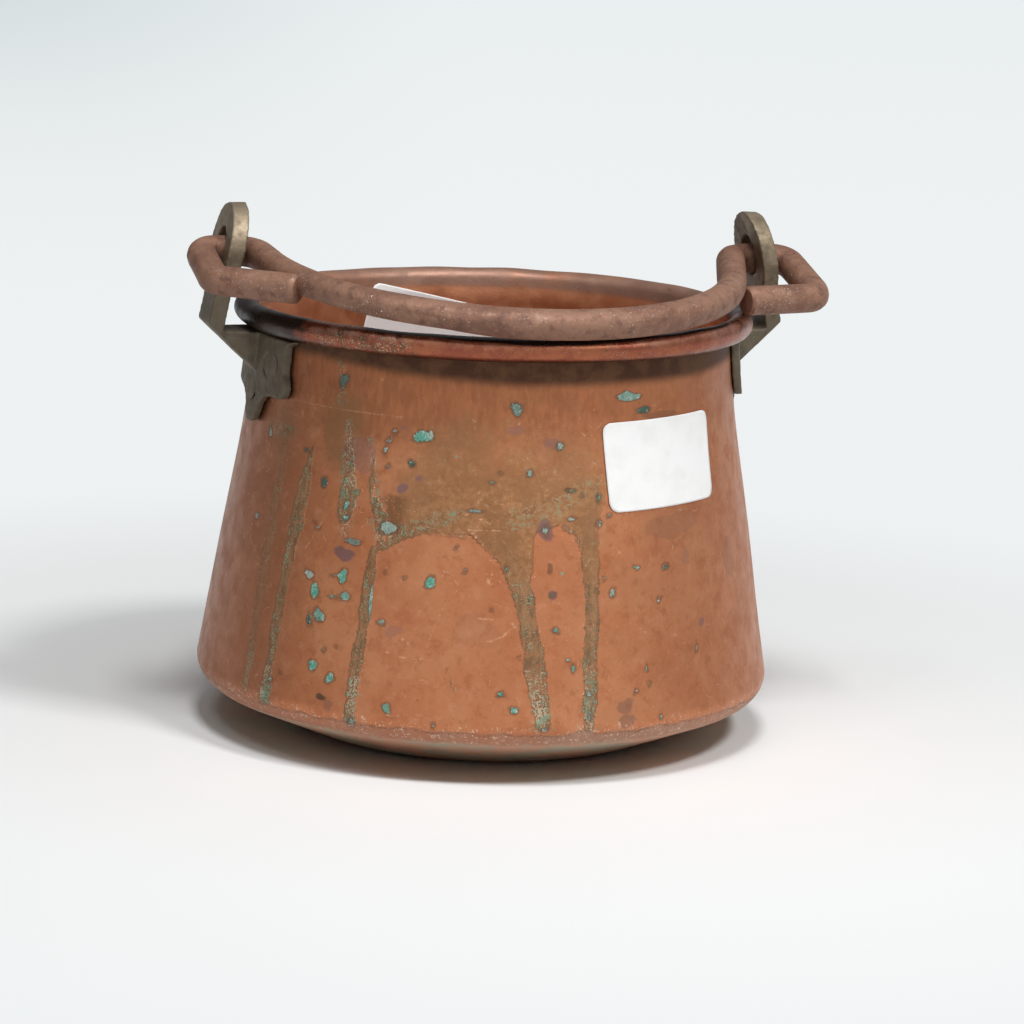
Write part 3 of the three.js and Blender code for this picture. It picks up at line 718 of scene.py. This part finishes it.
def hammered_radius(along, around):
    """The rod's radius: a softened square section, chance hammered flats and a thinner front left."""
    squared = 1 - 0.018 * np.cos(4 * (around - 0.35) + 0.5 * np.sin(along / 31))
    radius = ROD_RADIUS * squared * (1 + 0.01 * ripple(along / 9, around, 31, 9, (1.5, 2)))
    chance = np.random.default_rng(40)
    for _ in range(HAMMER_FLATS):
        middle = chance.uniform(along.min(), along.max())
        facing = chance.uniform(0, 2 * np.pi)
        cut = chance.uniform(*FLAT_DEPTHS) * bump(along - middle, chance.uniform(4, 9))
        facing_it = np.maximum(np.cos(around - facing), 0.3)
        radius = np.minimum(radius, ROD_RADIUS * 1.005 * (1 - cut) / facing_it)
    below = np.maximum(-np.cos(around), 0) ** 2
    thin = ramp(along, THIN_START, THIN_START_FADE) * ramp(along, THIN_END, -THIN_END_FADE)
    return np.minimum(radius, ROD_RADIUS + 0.1) - THIN_DEPTH * thin * below


def forged_bail():
    """A rod swept along its route: each ring square to the route, its zero angle on the bail's upper side."""
    route, along = rounded_route(bail_corners(), ROUTE_STEP)
    tangent = unit(np.gradient(route, axis=0))
    upper = np.array([0, -math.sin(BAIL_DROP), math.cos(BAIL_DROP)])
    first = unit(upper - (tangent @ upper)[:, None] * tangent)
    second = np.cross(tangent, first)
    angle = np.linspace(0, 2 * np.pi, ROD_SIDES, endpoint=False)
    around, far = np.meshgrid(angle, along)
    from_end = np.minimum(far, along[-1] - far)
    chamfer = 1 - 0.2 * np.clip(1 - from_end / 0.9, 0, 1) ** 1.6
    radius = hammered_radius(far, around) * chamfer
    points = (
        route[:, None]
        + (radius * np.cos(around))[..., None] * first[:, None]
        + (radius * np.sin(around))[..., None] * second[:, None]
    )
    piece = grid_piece("forged_bail", points[:, ::-1], caps=(0, -1))
    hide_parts("bail_handle")
    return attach(piece, "bail")


# The labels


def paper_label(name, middle, size, tilt, inside):
    """A thin sheet with round corners laid on the wall: rings that grow from its middle to its outline."""
    turn = np.linspace(0, 2 * np.pi, LABEL_SIDES, endpoint=False)
    half = np.array(size) / 2
    outward = np.stack([np.cos(turn), np.sin(turn)], axis=-1)
    edge = outward * (half / np.maximum(np.abs(outward), 1e-6)).min(axis=-1)[:, None]
    core = np.clip(edge, LABEL_CORNER - half, half - LABEL_CORNER)
    away = edge - core
    long = np.maximum(np.linalg.norm(away, axis=1), 1e-6)[:, None]
    edge = np.where(long > LABEL_CORNER, core + away / long * LABEL_CORNER, edge)
    share = np.linspace(0.02, 1, 26)[:, None, None]
    flat = edge[None] * share
    across = flat[..., 0] * math.cos(tilt) - flat[..., 1] * math.sin(tilt)
    height = middle[1] + flat[..., 0] * math.sin(tilt) + flat[..., 1] * math.cos(tilt)
    curl = np.maximum(height - NECK_HEIGHT, 0) * NECK_FLARE / CURL_OUTER
    radius = wall_radius(np.minimum(height, NECK_HEIGHT)) + curl
    angle = middle[0] + np.degrees(across / radius) * (-1 if inside else 1)
    lift = LABEL_LIFT + 0.07 * (1 + ripple(flat[..., 0] / 5, flat[..., 1] / 5, 61, 6, (1.5, 1.5)))
    lift += 0.35 * np.clip(share[..., 0] - 0.9, 0, 1) * (1 + np.sin(turn * 2 + 1))
    base = -SHEET - lift if inside else lift
    radius = radius + wall_dents(angle, height) + base
    piece = grid_piece(name, round_pot(angle, radius, height), caps=(0,))
    paper = piece.modifiers.new("paper", "SOLIDIFY")
    paper.thickness = PAPER_THICKNESS * MM
    paper.offset = -1
    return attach(piece, "pot")


# Finishes


def maths(operation, reflected=False):
    """A method of Term that adds a Math node; reflected puts the other number first."""

    def method(self, *others):
        values = (*others, self) if reflected else (self, *others)
        return self.finish.node("ShaderNodeMath", {"operation": operation}, dict(enumerate(values)))

    return method


class Term:
    """A socket of a finish's node tree, so that its maths can be written as sums."""

    def __init__(self, finish, socket):
        self.finish = finish
        self.socket = socket

    __add__ = __radd__ = maths("ADD")
    __sub__ = maths("SUBTRACT")
    __rsub__ = maths("SUBTRACT", reflected=True)
    __mul__ = __rmul__ = maths("MULTIPLY")
    __truediv__ = maths("DIVIDE")
    __rtruediv__ = maths("DIVIDE", reflected=True)
    highest = maths("MAXIMUM")
    size = maths("ABSOLUTE")


class Finish:
    """A material or a world whose nodes are added one call at a time."""

    def __init__(self, owner):
        self.owner = owner
        owner.use_nodes = True
        self.tree = owner.node_tree
        self.tree.nodes.clear()
        self.spot = self.node("ShaderNodeTexCoord", {}, {}, "Object")

    def node(self, kind, settings, values, output=0):
        """A node of a kind with its settings and its sockets' values or links. Returns one output, if any."""
        made = self.tree.nodes.new(kind)
        for setting, value in settings.items():
            setattr(made, setting, value)
        for key, value in values.items():
            socket = made.inputs[key]
            if isinstance(value, Term):
                self.tree.links.new(value.socket, socket)
            else:
                socket.default_value = value
        return Term(self, made.outputs[output]) if made.outputs else None

    def vector(self, operation, first, second, output=0):
        """A Vector Math node on two vectors."""
        return self.node("ShaderNodeVectorMath", {"operation": operation}, {0: first, 1: second}, output)

    def scaled(self, per_mm):
        """The point in millimetres, times a number for each direction."""
        return self.vector("MULTIPLY", self.spot, tuple(n / MM for n in per_mm))

    def along(self, axis):
        """The point's place along X, Y or Z, in millimetres."""
        return self.node("ShaderNodeSeparateXYZ", {}, {0: self.scaled((1, 1, 1))}, axis)

    def moved(self, size, stretch=(1, 1, 1), shift=0.0):
        """The point counted in a size in millimetres, stretched and shifted."""
        return self.vector("ADD", self.scaled(tuple(n / size for n in stretch)), (shift, shift, shift))

    def clouds(self, size, detail=4.0, rough=0.55, stretch=(1, 1, 1), shift=0.0):
        """Soft noise from 0 to 1 whose features are about a size in millimetres."""
        return self.node("ShaderNodeTexNoise", {}, {
            "Vector": self.moved(size, stretch, shift), "Scale": 1.0, "Detail": detail, "Roughness": rough,
        })

    def cells(self, size):
        """Distance from the nearest of chance points spread at a size, and that point's own number."""
        values = {"Vector": self.moved(size), "Scale": 1.0}
        distance = self.node("ShaderNodeTexVoronoi", {}, values)
        own = self.node("ShaderNodeTexVoronoi", {}, values, "Color")
        return distance, self.node("ShaderNodeSeparateColor", {}, {0: own})

    def step(self, value, start, end):
        """0 below the start, 1 above the end, and smooth between; the other way round if start > end."""
        low, high = (start, end) if start < end else (end, start)
        return self.node("ShaderNodeMapRange", {"interpolation_type": "SMOOTHSTEP"}, {
            "Value": value, "From Min": low, "From Max": high,
            "To Min": 0.0 if start < end else 1.0, "To Max": 1.0 if start < end else 0.0,
        })

    def blend(self, share, first, second):
        """The first colour where the share is 0 and the second where it is 1."""
        values = {0: share, 6: colour(first), 7: colour(second)}
        return self.node("ShaderNodeMix", {"data_type": "RGBA"}, values, 2)

    def laid(self, tone, *layers):
        """A colour with others laid over it in turn, each as (share, colour)."""
        for share, over in layers:
            tone = self.blend(share, tone, over)
        return tone

    def field(self, name):
        """A number kept with the mesh's points."""
        return self.node("ShaderNodeAttribute", {"attribute_name": name}, {}, "Fac")

    def seen(self):
        """1 for the rays of the camera and of mirroring and clear surfaces, and 0 for light that spreads."""
        kinds = ("Camera", "Glossy", "Transmission")
        camera, glossy, clear = [self.node("ShaderNodeLightPath", {}, {}, f"Is {kind} Ray") for kind in kinds]
        return camera.highest(glossy).highest(clear)

    def raised(self, height, depth, below=None):
        """A bump from a height of 0 to 1 that stands for a depth in millimetres, over one below, if any."""
        values = {"Height": height, "Distance": depth * MM, "Strength": 1.0}
        if below:
            values["Normal"] = below
        return self.node("ShaderNodeBump", {}, values)

    def surface(self, **values):
        """The shader itself and the material's output."""
        sockets = {key.replace("_", " "): value for key, value in values.items()}
        shader = self.node("ShaderNodeBsdfPrincipled", {}, sockets)
        self.node("ShaderNodeOutputMaterial", {}, {"Surface": shader})
        return self.owner


def new_finish(name):
    """A finish for a material of its own."""
    return Finish(bpy.data.materials.new(name))


def colour(value):
    """A colour socket's four numbers, or a link as it is."""
    return value if isinstance(value, Term) else (*value, 1.0)


# Clean copper where the surface is scratched or cracked
PALE_COPPER = (0.72, 0.42, 0.26)


def copper_finish():
    """Aged copper: satin brown sheet, olive film, brown runs, verdigris, stains, scratches, a dark neck of
    patina and painted shade, and a painted highlight and painted shadows on the roll.
    """
    f = new_finish("aged_copper")
    step, blend, field = f.step, f.blend, f.field
    height = f.along("Z")
    tube = field("tube")
    rear = field("rear")
    rolled = step(field("face"), 0.3, 0.7)
    inside = step(field("face"), 1.2, 1.8)
    roll = rolled * (1 - inside)
    outside = 1 - rolled
    broad = f.clouds(24, 3)
    middling = f.clouds(6, 5, 0.6, shift=3.1)
    patch = f.clouds(3.4, 5, 0.7, shift=20.3)
    fine = f.clouds(1.3, 6, 0.65, shift=7.7)
    grain = f.clouds(0.42, 3, 0.6, shift=1.9)
    streak = f.clouds(1.3, 4, 0.6, (1, 1, 0.3), 6.4)
    rough_fine = fine - 0.5
    rough_middling = middling - 0.5

    # The sheet, darker to the left as partly patina and partly painted shade, darker above, with pale cracks
    # and dark dots
    skin = f.laid(
        blend(step(broad, 0.36, 0.66), (0.485, 0.182, 0.083), (0.55, 0.227, 0.109)),
        (step(middling, 0.48, 0.7) * 0.55, (0.4, 0.135, 0.06)),
        (step(middling, 0.46, 0.28) * 0.45, (0.6, 0.27, 0.14)),
        (step(fine, 0.55, 0.75) * 0.2, (0.6, 0.3, 0.18)),
        (field("left_patina_and_shade") * 0.75, (0.3, 0.115, 0.056)),
        (step(patch, 0.52, 0.68) * 0.5, (0.36, 0.125, 0.055)),
        (step(patch, 0.44, 0.32) * 0.35, (0.62, 0.3, 0.17)),
    )
    upper = step(height + (broad - 0.5) * 30 + (patch - 0.5) * 14, 76, 91) * outside
    upper = upper * (0.74 - 0.4 * step(f.along("X"), -5, 30))
    upper_tone = blend(step(streak + middling, 0.8, 1.2), (0.25, 0.085, 0.038), (0.37, 0.135, 0.058))
    crack = step((f.clouds(11, 2, 0.5, shift=4.7) - 0.5).size(), 0.006, 0.002)
    crackle = crack * step(fine, 0.5, 0.6) * step(middling, 0.46, 0.6)
    dots = step(f.clouds(0.9, 2, 0.5, shift=13.3), 0.72, 0.77) * outside
    cloud = step(field("cloud") + rough_middling * 0.9 + rough_fine * 0.3, 0.35, 0.85) * outside
    skin = f.laid(
        skin, (upper, upper_tone), (crackle * outside * 0.62, PALE_COPPER), (dots * 0.5, (0.16, 0.08, 0.045)),
        (cloud * 0.72, (0.25, 0.125, 0.058)),
    )

    # The olive film and its dark border
    film = step(field("film") + rough_fine * 0.5 + rough_middling * 0.9, 0.1, 0.85) * outside
    film_tone = blend(step(fine * 0.5 + middling * 0.5, 0.42, 0.6), (0.22, 0.118, 0.05), (0.36, 0.185, 0.082))
    edge = step((field("film") - 0.4).size(), 0.35, 0.1) * field("film_edge") * step(fine, 0.36, 0.5)
    skin = f.laid(
        skin, (film * 0.76, film_tone),
        (film * step(grain + fine + middling * 0.6, 1.46, 1.6) * 0.35, (0.42, 0.38, 0.25)),
        (crackle * film * 0.55, (0.6, 0.42, 0.27)), (edge * outside * 0.65, (0.13, 0.065, 0.03)),
    )

    # Stains and runs, with more cream and green low down
    ragged = rough_fine * 1.5 + rough_middling * 0.9
    stain = step(field("stain") + ragged, -0.25, 0.35) * field("stain_depth") * outside
    stain_tone = blend(field("stain_tone"), (0.19, 0.1, 0.115), (0.085, 0.05, 0.026))
    low = step(height, 34, 18) * outside
    run_edge = field("run") + rough_fine * 1.2 + rough_middling * 2.6
    run = step(run_edge, -0.25, 0.35) * field("run_depth") * (1 - film * 0.75) * outside
    beside = step(field("run"), -2.6, -0.2) * step(grain + fine + low * 0.08, 1.22, 1.3) * field("run_depth")
    cream = step(grain + fine * 0.5 + low * 0.1, 0.81, 0.91) * step(middling + low * 0.22, 0.42, 0.6)
    greening = step(middling + low * 0.16 + rough_fine * 0.7, 0.56, 0.68) * step(grain, 0.44, 0.58)
    run_tone = f.laid(
        blend(step(streak, 0.36, 0.64), (0.165, 0.095, 0.042), (0.29, 0.175, 0.085)),
        (cream * 0.85, (0.52, 0.46, 0.34)), (greening * 0.85, (0.15, 0.3, 0.2)),
        (step(run_edge, 0.5, 0.1) * 0.6, (0.12, 0.06, 0.03)),
    )
    fleck = step(field("fleck") + rough_middling * 4, -0.8, 1.2) * field("fleck_depth") * outside
    fleck_tone = blend(step(middling + rough_fine * 0.4, 0.44, 0.56), (0.48, 0.43, 0.31), (0.13, 0.3, 0.2))
    speckle = grain + fine * 0.8
    skin = f.laid(
        skin, (stain, stain_tone), (beside * outside * 0.8, (0.3, 0.34, 0.22)),
        (run * (0.6 + 0.36 * step(fine, 0.35, 0.6)), run_tone),
        (fleck * step(speckle, 0.92, 1.02), fleck_tone),
        (fleck * step(speckle, 0.84, 0.76) * 0.5, (0.12, 0.075, 0.045)),
    )

    # Crusts with their dark borders, specks and scratches
    bloom_edge = field("bloom") + rough_fine * 1.7 + (grain - 0.5) * 0.8
    bloom = step(bloom_edge, -0.03, 0.22) * outside
    halo = step(bloom_edge, -0.75, -0.1) * outside
    light = field("bloom_depth") + rough_fine * 0.7
    lightness = step(light, 0.15, 0.85)
    crust_tone = f.laid(
        blend(lightness, (0.04, 0.095, 0.065), (0.09, 0.34, 0.25)),
        (field("bloom_tone"), blend(lightness, (0.12, 0.12, 0.1), (0.34, 0.35, 0.31))),
        (step(fine + grain + light * 0.1, 1.14, 1.3) * 0.7, (0.5, 0.62, 0.53)),
        (step(fine + grain, 0.9, 0.78) * 0.7, (0.05, 0.085, 0.06)),
    )
    distance, own = f.cells(8.5)
    speck = step(distance + own * 0.22 + (grain - 0.5) * 0.1, 0.085, 0.05) * outside
    speck_tone = blend(step(own, 0.4, 0.6), (0.2, 0.38, 0.27), (0.1, 0.07, 0.05))
    scratch = step(field("scratch") + (grain - 0.5) * 0.6, -0.2, 0.1) * step(fine, 0.42, 0.56) * outside
    skin = f.laid(
        skin, (halo * 0.55, (0.15, 0.075, 0.045)), (bloom, crust_tone), (speck * 0.9, speck_tone),
        (scratch * 0.5, PALE_COPPER),
    )

    # The dark neck, patina and painted shade under the roll, the worn corner with pale flakes and a ridge
    # above it, the underside and the inside
    neck_patina_and_shade = step(field("neck_patina_and_shade") + rough_middling * 1.4, -1.6, 1.4) * outside
    corner = step(height + rough_middling * 3.5 + rough_fine * 2, 14.4, 13.2) * outside
    flake = step(grain + fine, 1.1, 1.2) * step(height + rough_middling * 6, 16.5, 14) * outside
    ridge = step((height + rough_middling * 3.5 - 13.6).size(), 0.5, 0.1) * step(fine, 0.44, 0.54) * outside
    under = step(height + rough_middling * 2, 11.4, 9.6) * outside
    bared = step(f.clouds(14, 3, shift=8.8), 0.42, 0.58)
    skin = f.laid(
        skin,
        (neck_patina_and_shade * 0.93, blend(step(middling, 0.38, 0.62), (0.06, 0.028, 0.018), (0.13, 0.066, 0.036))),
        (corner * 0.75, blend(step(broad, 0.4, 0.6), (0.42, 0.19, 0.115), (0.37, 0.23, 0.165))),
        (flake * 0.7, (0.72, 0.58, 0.45)),
        (ridge * 0.6, (0.2, 0.09, 0.05)),
        (under * 0.9, blend(bared, (0.56, 0.3, 0.2), (0.4, 0.35, 0.26))),
        (inside, blend(step(middling, 0.35, 0.65), (0.52, 0.2, 0.09), (0.62, 0.27, 0.14))),
    )

    # The roll: a painted highlight on top and painted shade below, dull behind, darker mottling in front,
    # painted shadows black at the left ear and under the resting bail, and a dark patch by the right ear that
    # is partly painted shadow
    # Lighter roll top: painted highlight
    top = step(tube + rough_middling * 30, 0, 32)
    painted_highlight_tone = blend(step(middling, 0.4, 0.62), (0.36, 0.14, 0.082), (0.43, 0.2, 0.135))
    dark_mottle = step(f.clouds(3, 6, 0.7, shift=12.3) + field("mottle") * 0.12, 0.58, 0.74)
    pale = step(grain + field("mottle") * 0.08, 0.64, 0.7) * step(middling, 0.42, 0.56)
    # Black at the left ear: painted shadow of the ear and hook; by the right ear a dark patch, partly painted
    # shadow
    ear_shadow_and_patch = step(field("ear_shadow_and_patch") + rough_middling * 1.1 + rough_fine * 0.5, 0.3, 0.75)
    # Black across the roll's top in front: painted shadow of the bail
    bail_shadow = step(field("bail_shadow") + rough_fine * 0.2, 0.12, 0.5)
    roll_tone = f.laid(
        blend(top, (0.3, 0.088, 0.048), painted_highlight_tone),
        (rear, blend(middling, (0.25, 0.125, 0.08), (0.36, 0.21, 0.155))),
        (step(broad + rough_fine * 0.3, 0.44, 0.6) * 0.45, (0.42, 0.15, 0.066)),
        (step(patch, 0.46, 0.6) * (1 - rear) * 0.7, (0.27, 0.07, 0.045)),
        # Darker underside of the roll: painted shade
        (step(tube + rough_fine * 20, -25, -60) * 0.7, (0.1, 0.04, 0.025)),
        (dark_mottle * 0.75, (0.12, 0.06, 0.036)),
        (pale * 0.8, blend(step(fine, 0.45, 0.55), (0.5, 0.45, 0.33), (0.2, 0.36, 0.25))),
        (ear_shadow_and_patch * 0.95, blend(fine, (0.012, 0.01, 0.009), (0.055, 0.04, 0.032))),
        (bail_shadow * 0.97, (0.016, 0.009, 0.008)),
    )
    skin = blend(roll, skin, roll_tone)

    crust = bloom.highest(run * 0.7).highest(speck)
    rough = 0.38 - 0.14 * roll + 0.2 * rear * roll + 0.14 * step(middling, 0.35, 0.7)
    rough = rough + 0.1 * film + 0.14 * neck_patina_and_shade + 0.34 * crust + 0.2 * corner
    metal = 0.88 - 0.4 * rear * roll - 0.5 * bail_shadow * roll - 0.78 * bloom - 0.35 * run
    metal = metal - 0.1 * film - 0.3 * corner - 0.4 * under - 0.35 * stain - 0.25 * inside
    dips = f.raised(f.clouds(9, 2, 0.4, shift=2.2), 0.3)
    pits = fine * 0.6 + grain * 0.4 + bloom * 2.4 + run * grain * 1.6 + run * 0.7 - scratch * 0.5
    return f.surface(Base_Color=skin, Roughness=rough, Metallic=metal, Normal=f.raised(pits, 0.1, dips))


def iron_finish():
    """Forged iron: brown and purple scale with rusty freckles and small bright worn flecks."""
    f = new_finish("forged_iron")
    middling = f.clouds(3.2, 5, 0.6, shift=8.1)
    fine = f.clouds(0.7, 5, 0.65, shift=2.7)
    rub = f.step(f.clouds(11, 2, shift=15.1), 0.5, 0.62)
    fleck = f.step(f.clouds(0.55, 3, 0.6, shift=6.6), 0.64, 0.7) * rub
    tone = f.laid(
        f.blend(f.step(f.clouds(14, 3, shift=4.4), 0.36, 0.64), (0.2, 0.098, 0.064), (0.285, 0.152, 0.1)),
        (f.step(middling, 0.5, 0.68) * 0.75, (0.14, 0.068, 0.05)),
        (f.step(middling, 0.45, 0.3) * 0.6, (0.33, 0.205, 0.145)),
        (f.step(fine, 0.54, 0.68) * 0.7, (0.42, 0.19, 0.1)),
        (fleck, (0.75, 0.66, 0.58)),
    )
    rough = 0.56 + 0.12 * f.step(middling, 0.3, 0.7) - 0.32 * fleck
    scale = f.raised(f.clouds(2.6, 3, 0.5, shift=1.2), 0.3)
    pits = f.raised(fine + middling * 0.6 + fleck * 0.3, 0.12, scale)
    return f.surface(Base_Color=tone, Roughness=rough, Metallic=0.35 + 0.6 * fleck, Normal=pits)


def brass_finish(name, warmth):
    """Dull cast brass: olive brown, darker low down with grime and painted shade, paler rubbed faces and fine
    pits.
    """
    f = new_finish(name)
    middling = f.clouds(2.4, 5, 0.6, shift=3.3)
    fine = f.clouds(0.6, 5, 0.65, shift=9.4)
    # Darker low down: grime, and painted shade below the rim
    low_grime_and_shade = f.step(f.along("Z") + (middling - 0.5) * 14, 113, 100)
    dark = (0.16 + warmth, 0.125, 0.085)
    tone = f.laid(
        f.blend(f.step(f.clouds(9, 3, shift=5.9), 0.35, 0.65), dark, (0.27 + warmth, 0.215, 0.15)),
        (f.step(middling, 0.52, 0.7) * 0.55, (0.13, 0.105, 0.068)),
        (f.step(fine, 0.58, 0.7) * 0.4, (0.36, 0.285, 0.19)),
        (low_grime_and_shade * 0.7, (0.13, 0.105, 0.075)),
        (f.step(middling + fine, 1.16, 1.28) * 0.5, (0.2, 0.25, 0.15)),
    )
    rough = 0.5 + 0.2 * f.step(middling, 0.3, 0.7) + 0.05 * low_grime_and_shade
    lumps = f.raised(f.clouds(3.5, 2, 0.5, shift=0.7), 0.16)
    pits = f.raised(fine + middling * 0.5, 0.07, lumps)
    return f.surface(Base_Color=tone, Roughness=rough, Metallic=0.78 - 0.25 * low_grime_and_shade, Normal=pits)


def paper_finish():
    """Matt white paper, faintly uneven."""
    f = new_finish("label_paper")
    tone = f.blend(f.step(f.clouds(6, 4, 0.6), 0.4, 0.75), (0.94, 0.94, 0.935), (0.88, 0.88, 0.865))
    fibre = f.raised(f.clouds(0.35, 4, 0.7), 0.02)
    return f.surface(Base_Color=tone, Roughness=0.75, Normal=fibre, Specular_IOR_Level=0.3)


def wire_finish():
    """Plain dark iron for the wire that lies hidden in the roll."""
    f = new_finish("hidden_wire")
    tone = f.blend(f.step(f.clouds(4, 4), 0.4, 0.6), (0.12, 0.08, 0.06), (0.2, 0.13, 0.09))
    return f.surface(Base_Color=tone, Roughness=0.7, Metallic=0.5)


def dress(piece, material):
    """Gives a piece its one finish."""
    piece.data.materials.clear()
    piece.data.materials.append(material)


# The room


def floor_finish():
    """White paper, lit near the pot; farther off it fades to a pale tone, darker far off and to the left as
    painted shade, as a lit backdrop would have.

    The fade shows to the camera and in metal, and lights nothing, so the floor keeps the pot's shadow.
    """
    f = new_finish("pale_floor")
    distance = f.vector("LENGTH", f.spot, (0, 0, 0), "Value")
    aside = f.vector("DOT_PRODUCT", f.spot, ASIDE, "Value")
    paper = f.node("ShaderNodeBsdfDiffuse", {}, {"Color": (0.86, 0.87, 0.87, 1)})
    # Far off the glow is darker to the left and with distance: painted shade of a backdrop
    far = f.blend(f.step(aside / distance, -0.2, 0.0), (0.65, 0.71, 0.715), (0.82, 0.86, 0.868))
    tone = f.blend(f.step(distance, 0.5, 3.2), (0.86, 0.885, 0.89), far)
    glow = f.node("ShaderNodeEmission", {}, {"Color": tone, "Strength": 1.0})
    both = f.node("ShaderNodeMixShader", {}, {0: f.seen() * f.step(distance, 0.1, 0.33), 1: paper, 2: glow})
    f.node("ShaderNodeOutputMaterial", {}, {"Surface": both})
    return f.owner


def pale_floor():
    """A large flat sheet that the pot stands on."""
    corners = FLOOR_REACH * np.array([[[-1, -1, 0], [1, -1, 0]], [[-1, 1, 0], [1, 1, 0]]])
    floor = grid_piece("floor", corners, closed=False)
    dress(floor, floor_finish())


# The direction in which the photograph looks, and the one to its right
AHEAD = Vector((math.sin(VIEW_TURN), math.cos(VIEW_TURN), 0))
ASIDE = Vector((AHEAD.y, -AHEAD.x, 0))


def lamp_direction(turn, rise):
    """The direction to a place in the room, in degrees to the right of the camera and above the floor."""
    turn, rise = math.radians(turn), math.radians(rise)
    return (ASIDE * math.sin(turn) - AHEAD * math.cos(turn)) * math.cos(rise) + Vector((0, 0, math.sin(rise)))


def soft_lamp(name, turn, rise, distance, size, power):
    """A square lamp that faces the pot."""
    out = lamp_direction(turn, rise)
    light = bpy.data.lights.new(name, "AREA")
    light.shape = "SQUARE"
    light.size = size
    light.energy = power
    lamp = bpy.data.objects.new(name, light)
    lamp.location = out * distance + Vector((0, 0, 0.05))
    lamp.rotation_euler = out.to_track_quat("Z", "Y").to_euler()
    scene.collection.objects.link(lamp)


# Lamps: name, degrees to the right of the camera and up, distance and size in metres, and watts
LAMPS = (
    ("key", 4, 67, 1.3, 0.28, 8.3),
    ("right", 48, 52, 1.5, 0.25, 10.2),
    ("left", -32, 58, 1.5, 0.3, 1.8),
)

# Bright panels that the metal shows: degrees to the right of the camera and up, cosine at the rim, strength
PANELS = ((55, 40, 0.97, 1.5), (-44, 55, 0.985, 0.8), (120, 38, 0.985, 0.3))


def room_light():
    """The room that the metal shows, the dimmer light from above that it gives to the rest, and the lamps."""
    world = bpy.data.worlds.new("room")
    room = Finish(world)
    where = room.node("ShaderNodeTexCoord", {}, {}, "Generated")

    def towards(direction):
        return room.vector("DOT_PRODUCT", where, direction, "Value")

    right, front, up = towards(ASIDE), towards(-AHEAD), towards(Vector((0, 0, 1)))
    shown = 0.1 + 0.36 * room.step(right + 0.8 * front, -1.45, -0.15) + 0.42 * room.step(front, 0.25, 0.95)
    for turn, rise, inner, power in PANELS:
        panel = towards(lamp_direction(turn, rise))
        shown = shown + power * room.step(panel, inner - 0.03, inner)
    given = 0.008 + 0.34 * room.step(up, 0.55, 0.98)
    back = room.node("ShaderNodeBackground", {}, {
        "Color": (0.99, 1.0, 1.01, 1), "Strength": given + (shown - given) * room.seen(),
    })
    room.node("ShaderNodeOutputWorld", {}, {"Surface": back})
    scene.world = world
    for lamp in LAMPS:
        soft_lamp(*lamp)


def photograph_camera():
    """The camera of the photograph: its place, the point that it looks at, its roll and its lens."""
    target = Vector((0, 0, TARGET_HEIGHT))
    back = -AHEAD * math.cos(VIEW_RISE) + Vector((0, 0, math.sin(VIEW_RISE)))
    look = (-back).to_track_quat("-Z", "Y") @ Matrix.Rotation(VIEW_ROLL, 3, "Z").to_quaternion()
    data = bpy.data.cameras.new("camera")
    data.sensor_width = SENSOR_WIDTH
    data.lens = FOCAL_PIXELS / PICTURE_PIXELS * SENSOR_WIDTH
    data.shift_x = (PICTURE_PIXELS / 2 - TARGET_PIXEL[0]) / PICTURE_PIXELS
    data.shift_y = (TARGET_PIXEL[1] - PICTURE_PIXELS / 2) / PICTURE_PIXELS
    data.clip_end = 50
    camera = bpy.data.objects.new("camera", data)
    camera.location = (target + back * VIEW_DISTANCE) * MM
    camera.rotation_mode = "QUATERNION"
    camera.rotation_quaternion = look
    scene.collection.objects.link(camera)
    scene.camera = camera


photograph_camera()
room_light()
pale_floor()

copper = copper_finish()
iron = iron_finish()
brass = brass_finish("cast_brass", 0.0)
peened = brass_finish("peened_brass", 0.012)
paper = paper_finish()

dress(copper_pot(), copper)
for side in ("left", "right"):
    dress(cast_ear(side), brass)
    near, far = ("front", "rear") if side == "right" else ("rear", "front")
    dress(peened_rivet(side, near, -LOBE_RIVET_SPREAD, LOBE_RIVET_HEIGHT), peened)
    dress(peened_rivet(side, far, LOBE_RIVET_SPREAD, LOBE_RIVET_HEIGHT), peened)
    dress(peened_rivet(side, "low", 0.0, TIP_RIVET_HEIGHT), peened)
dress(forged_bail(), iron)
dress(paper_label("outer_label", *OUTER_LABEL, inside=False), paper)
dress(paper_label("inner_label", *INNER_LABEL, inside=True), paper)
dress(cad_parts["rim_wire"], wire_finish())

scene.view_settings.view_transform = "Standard"
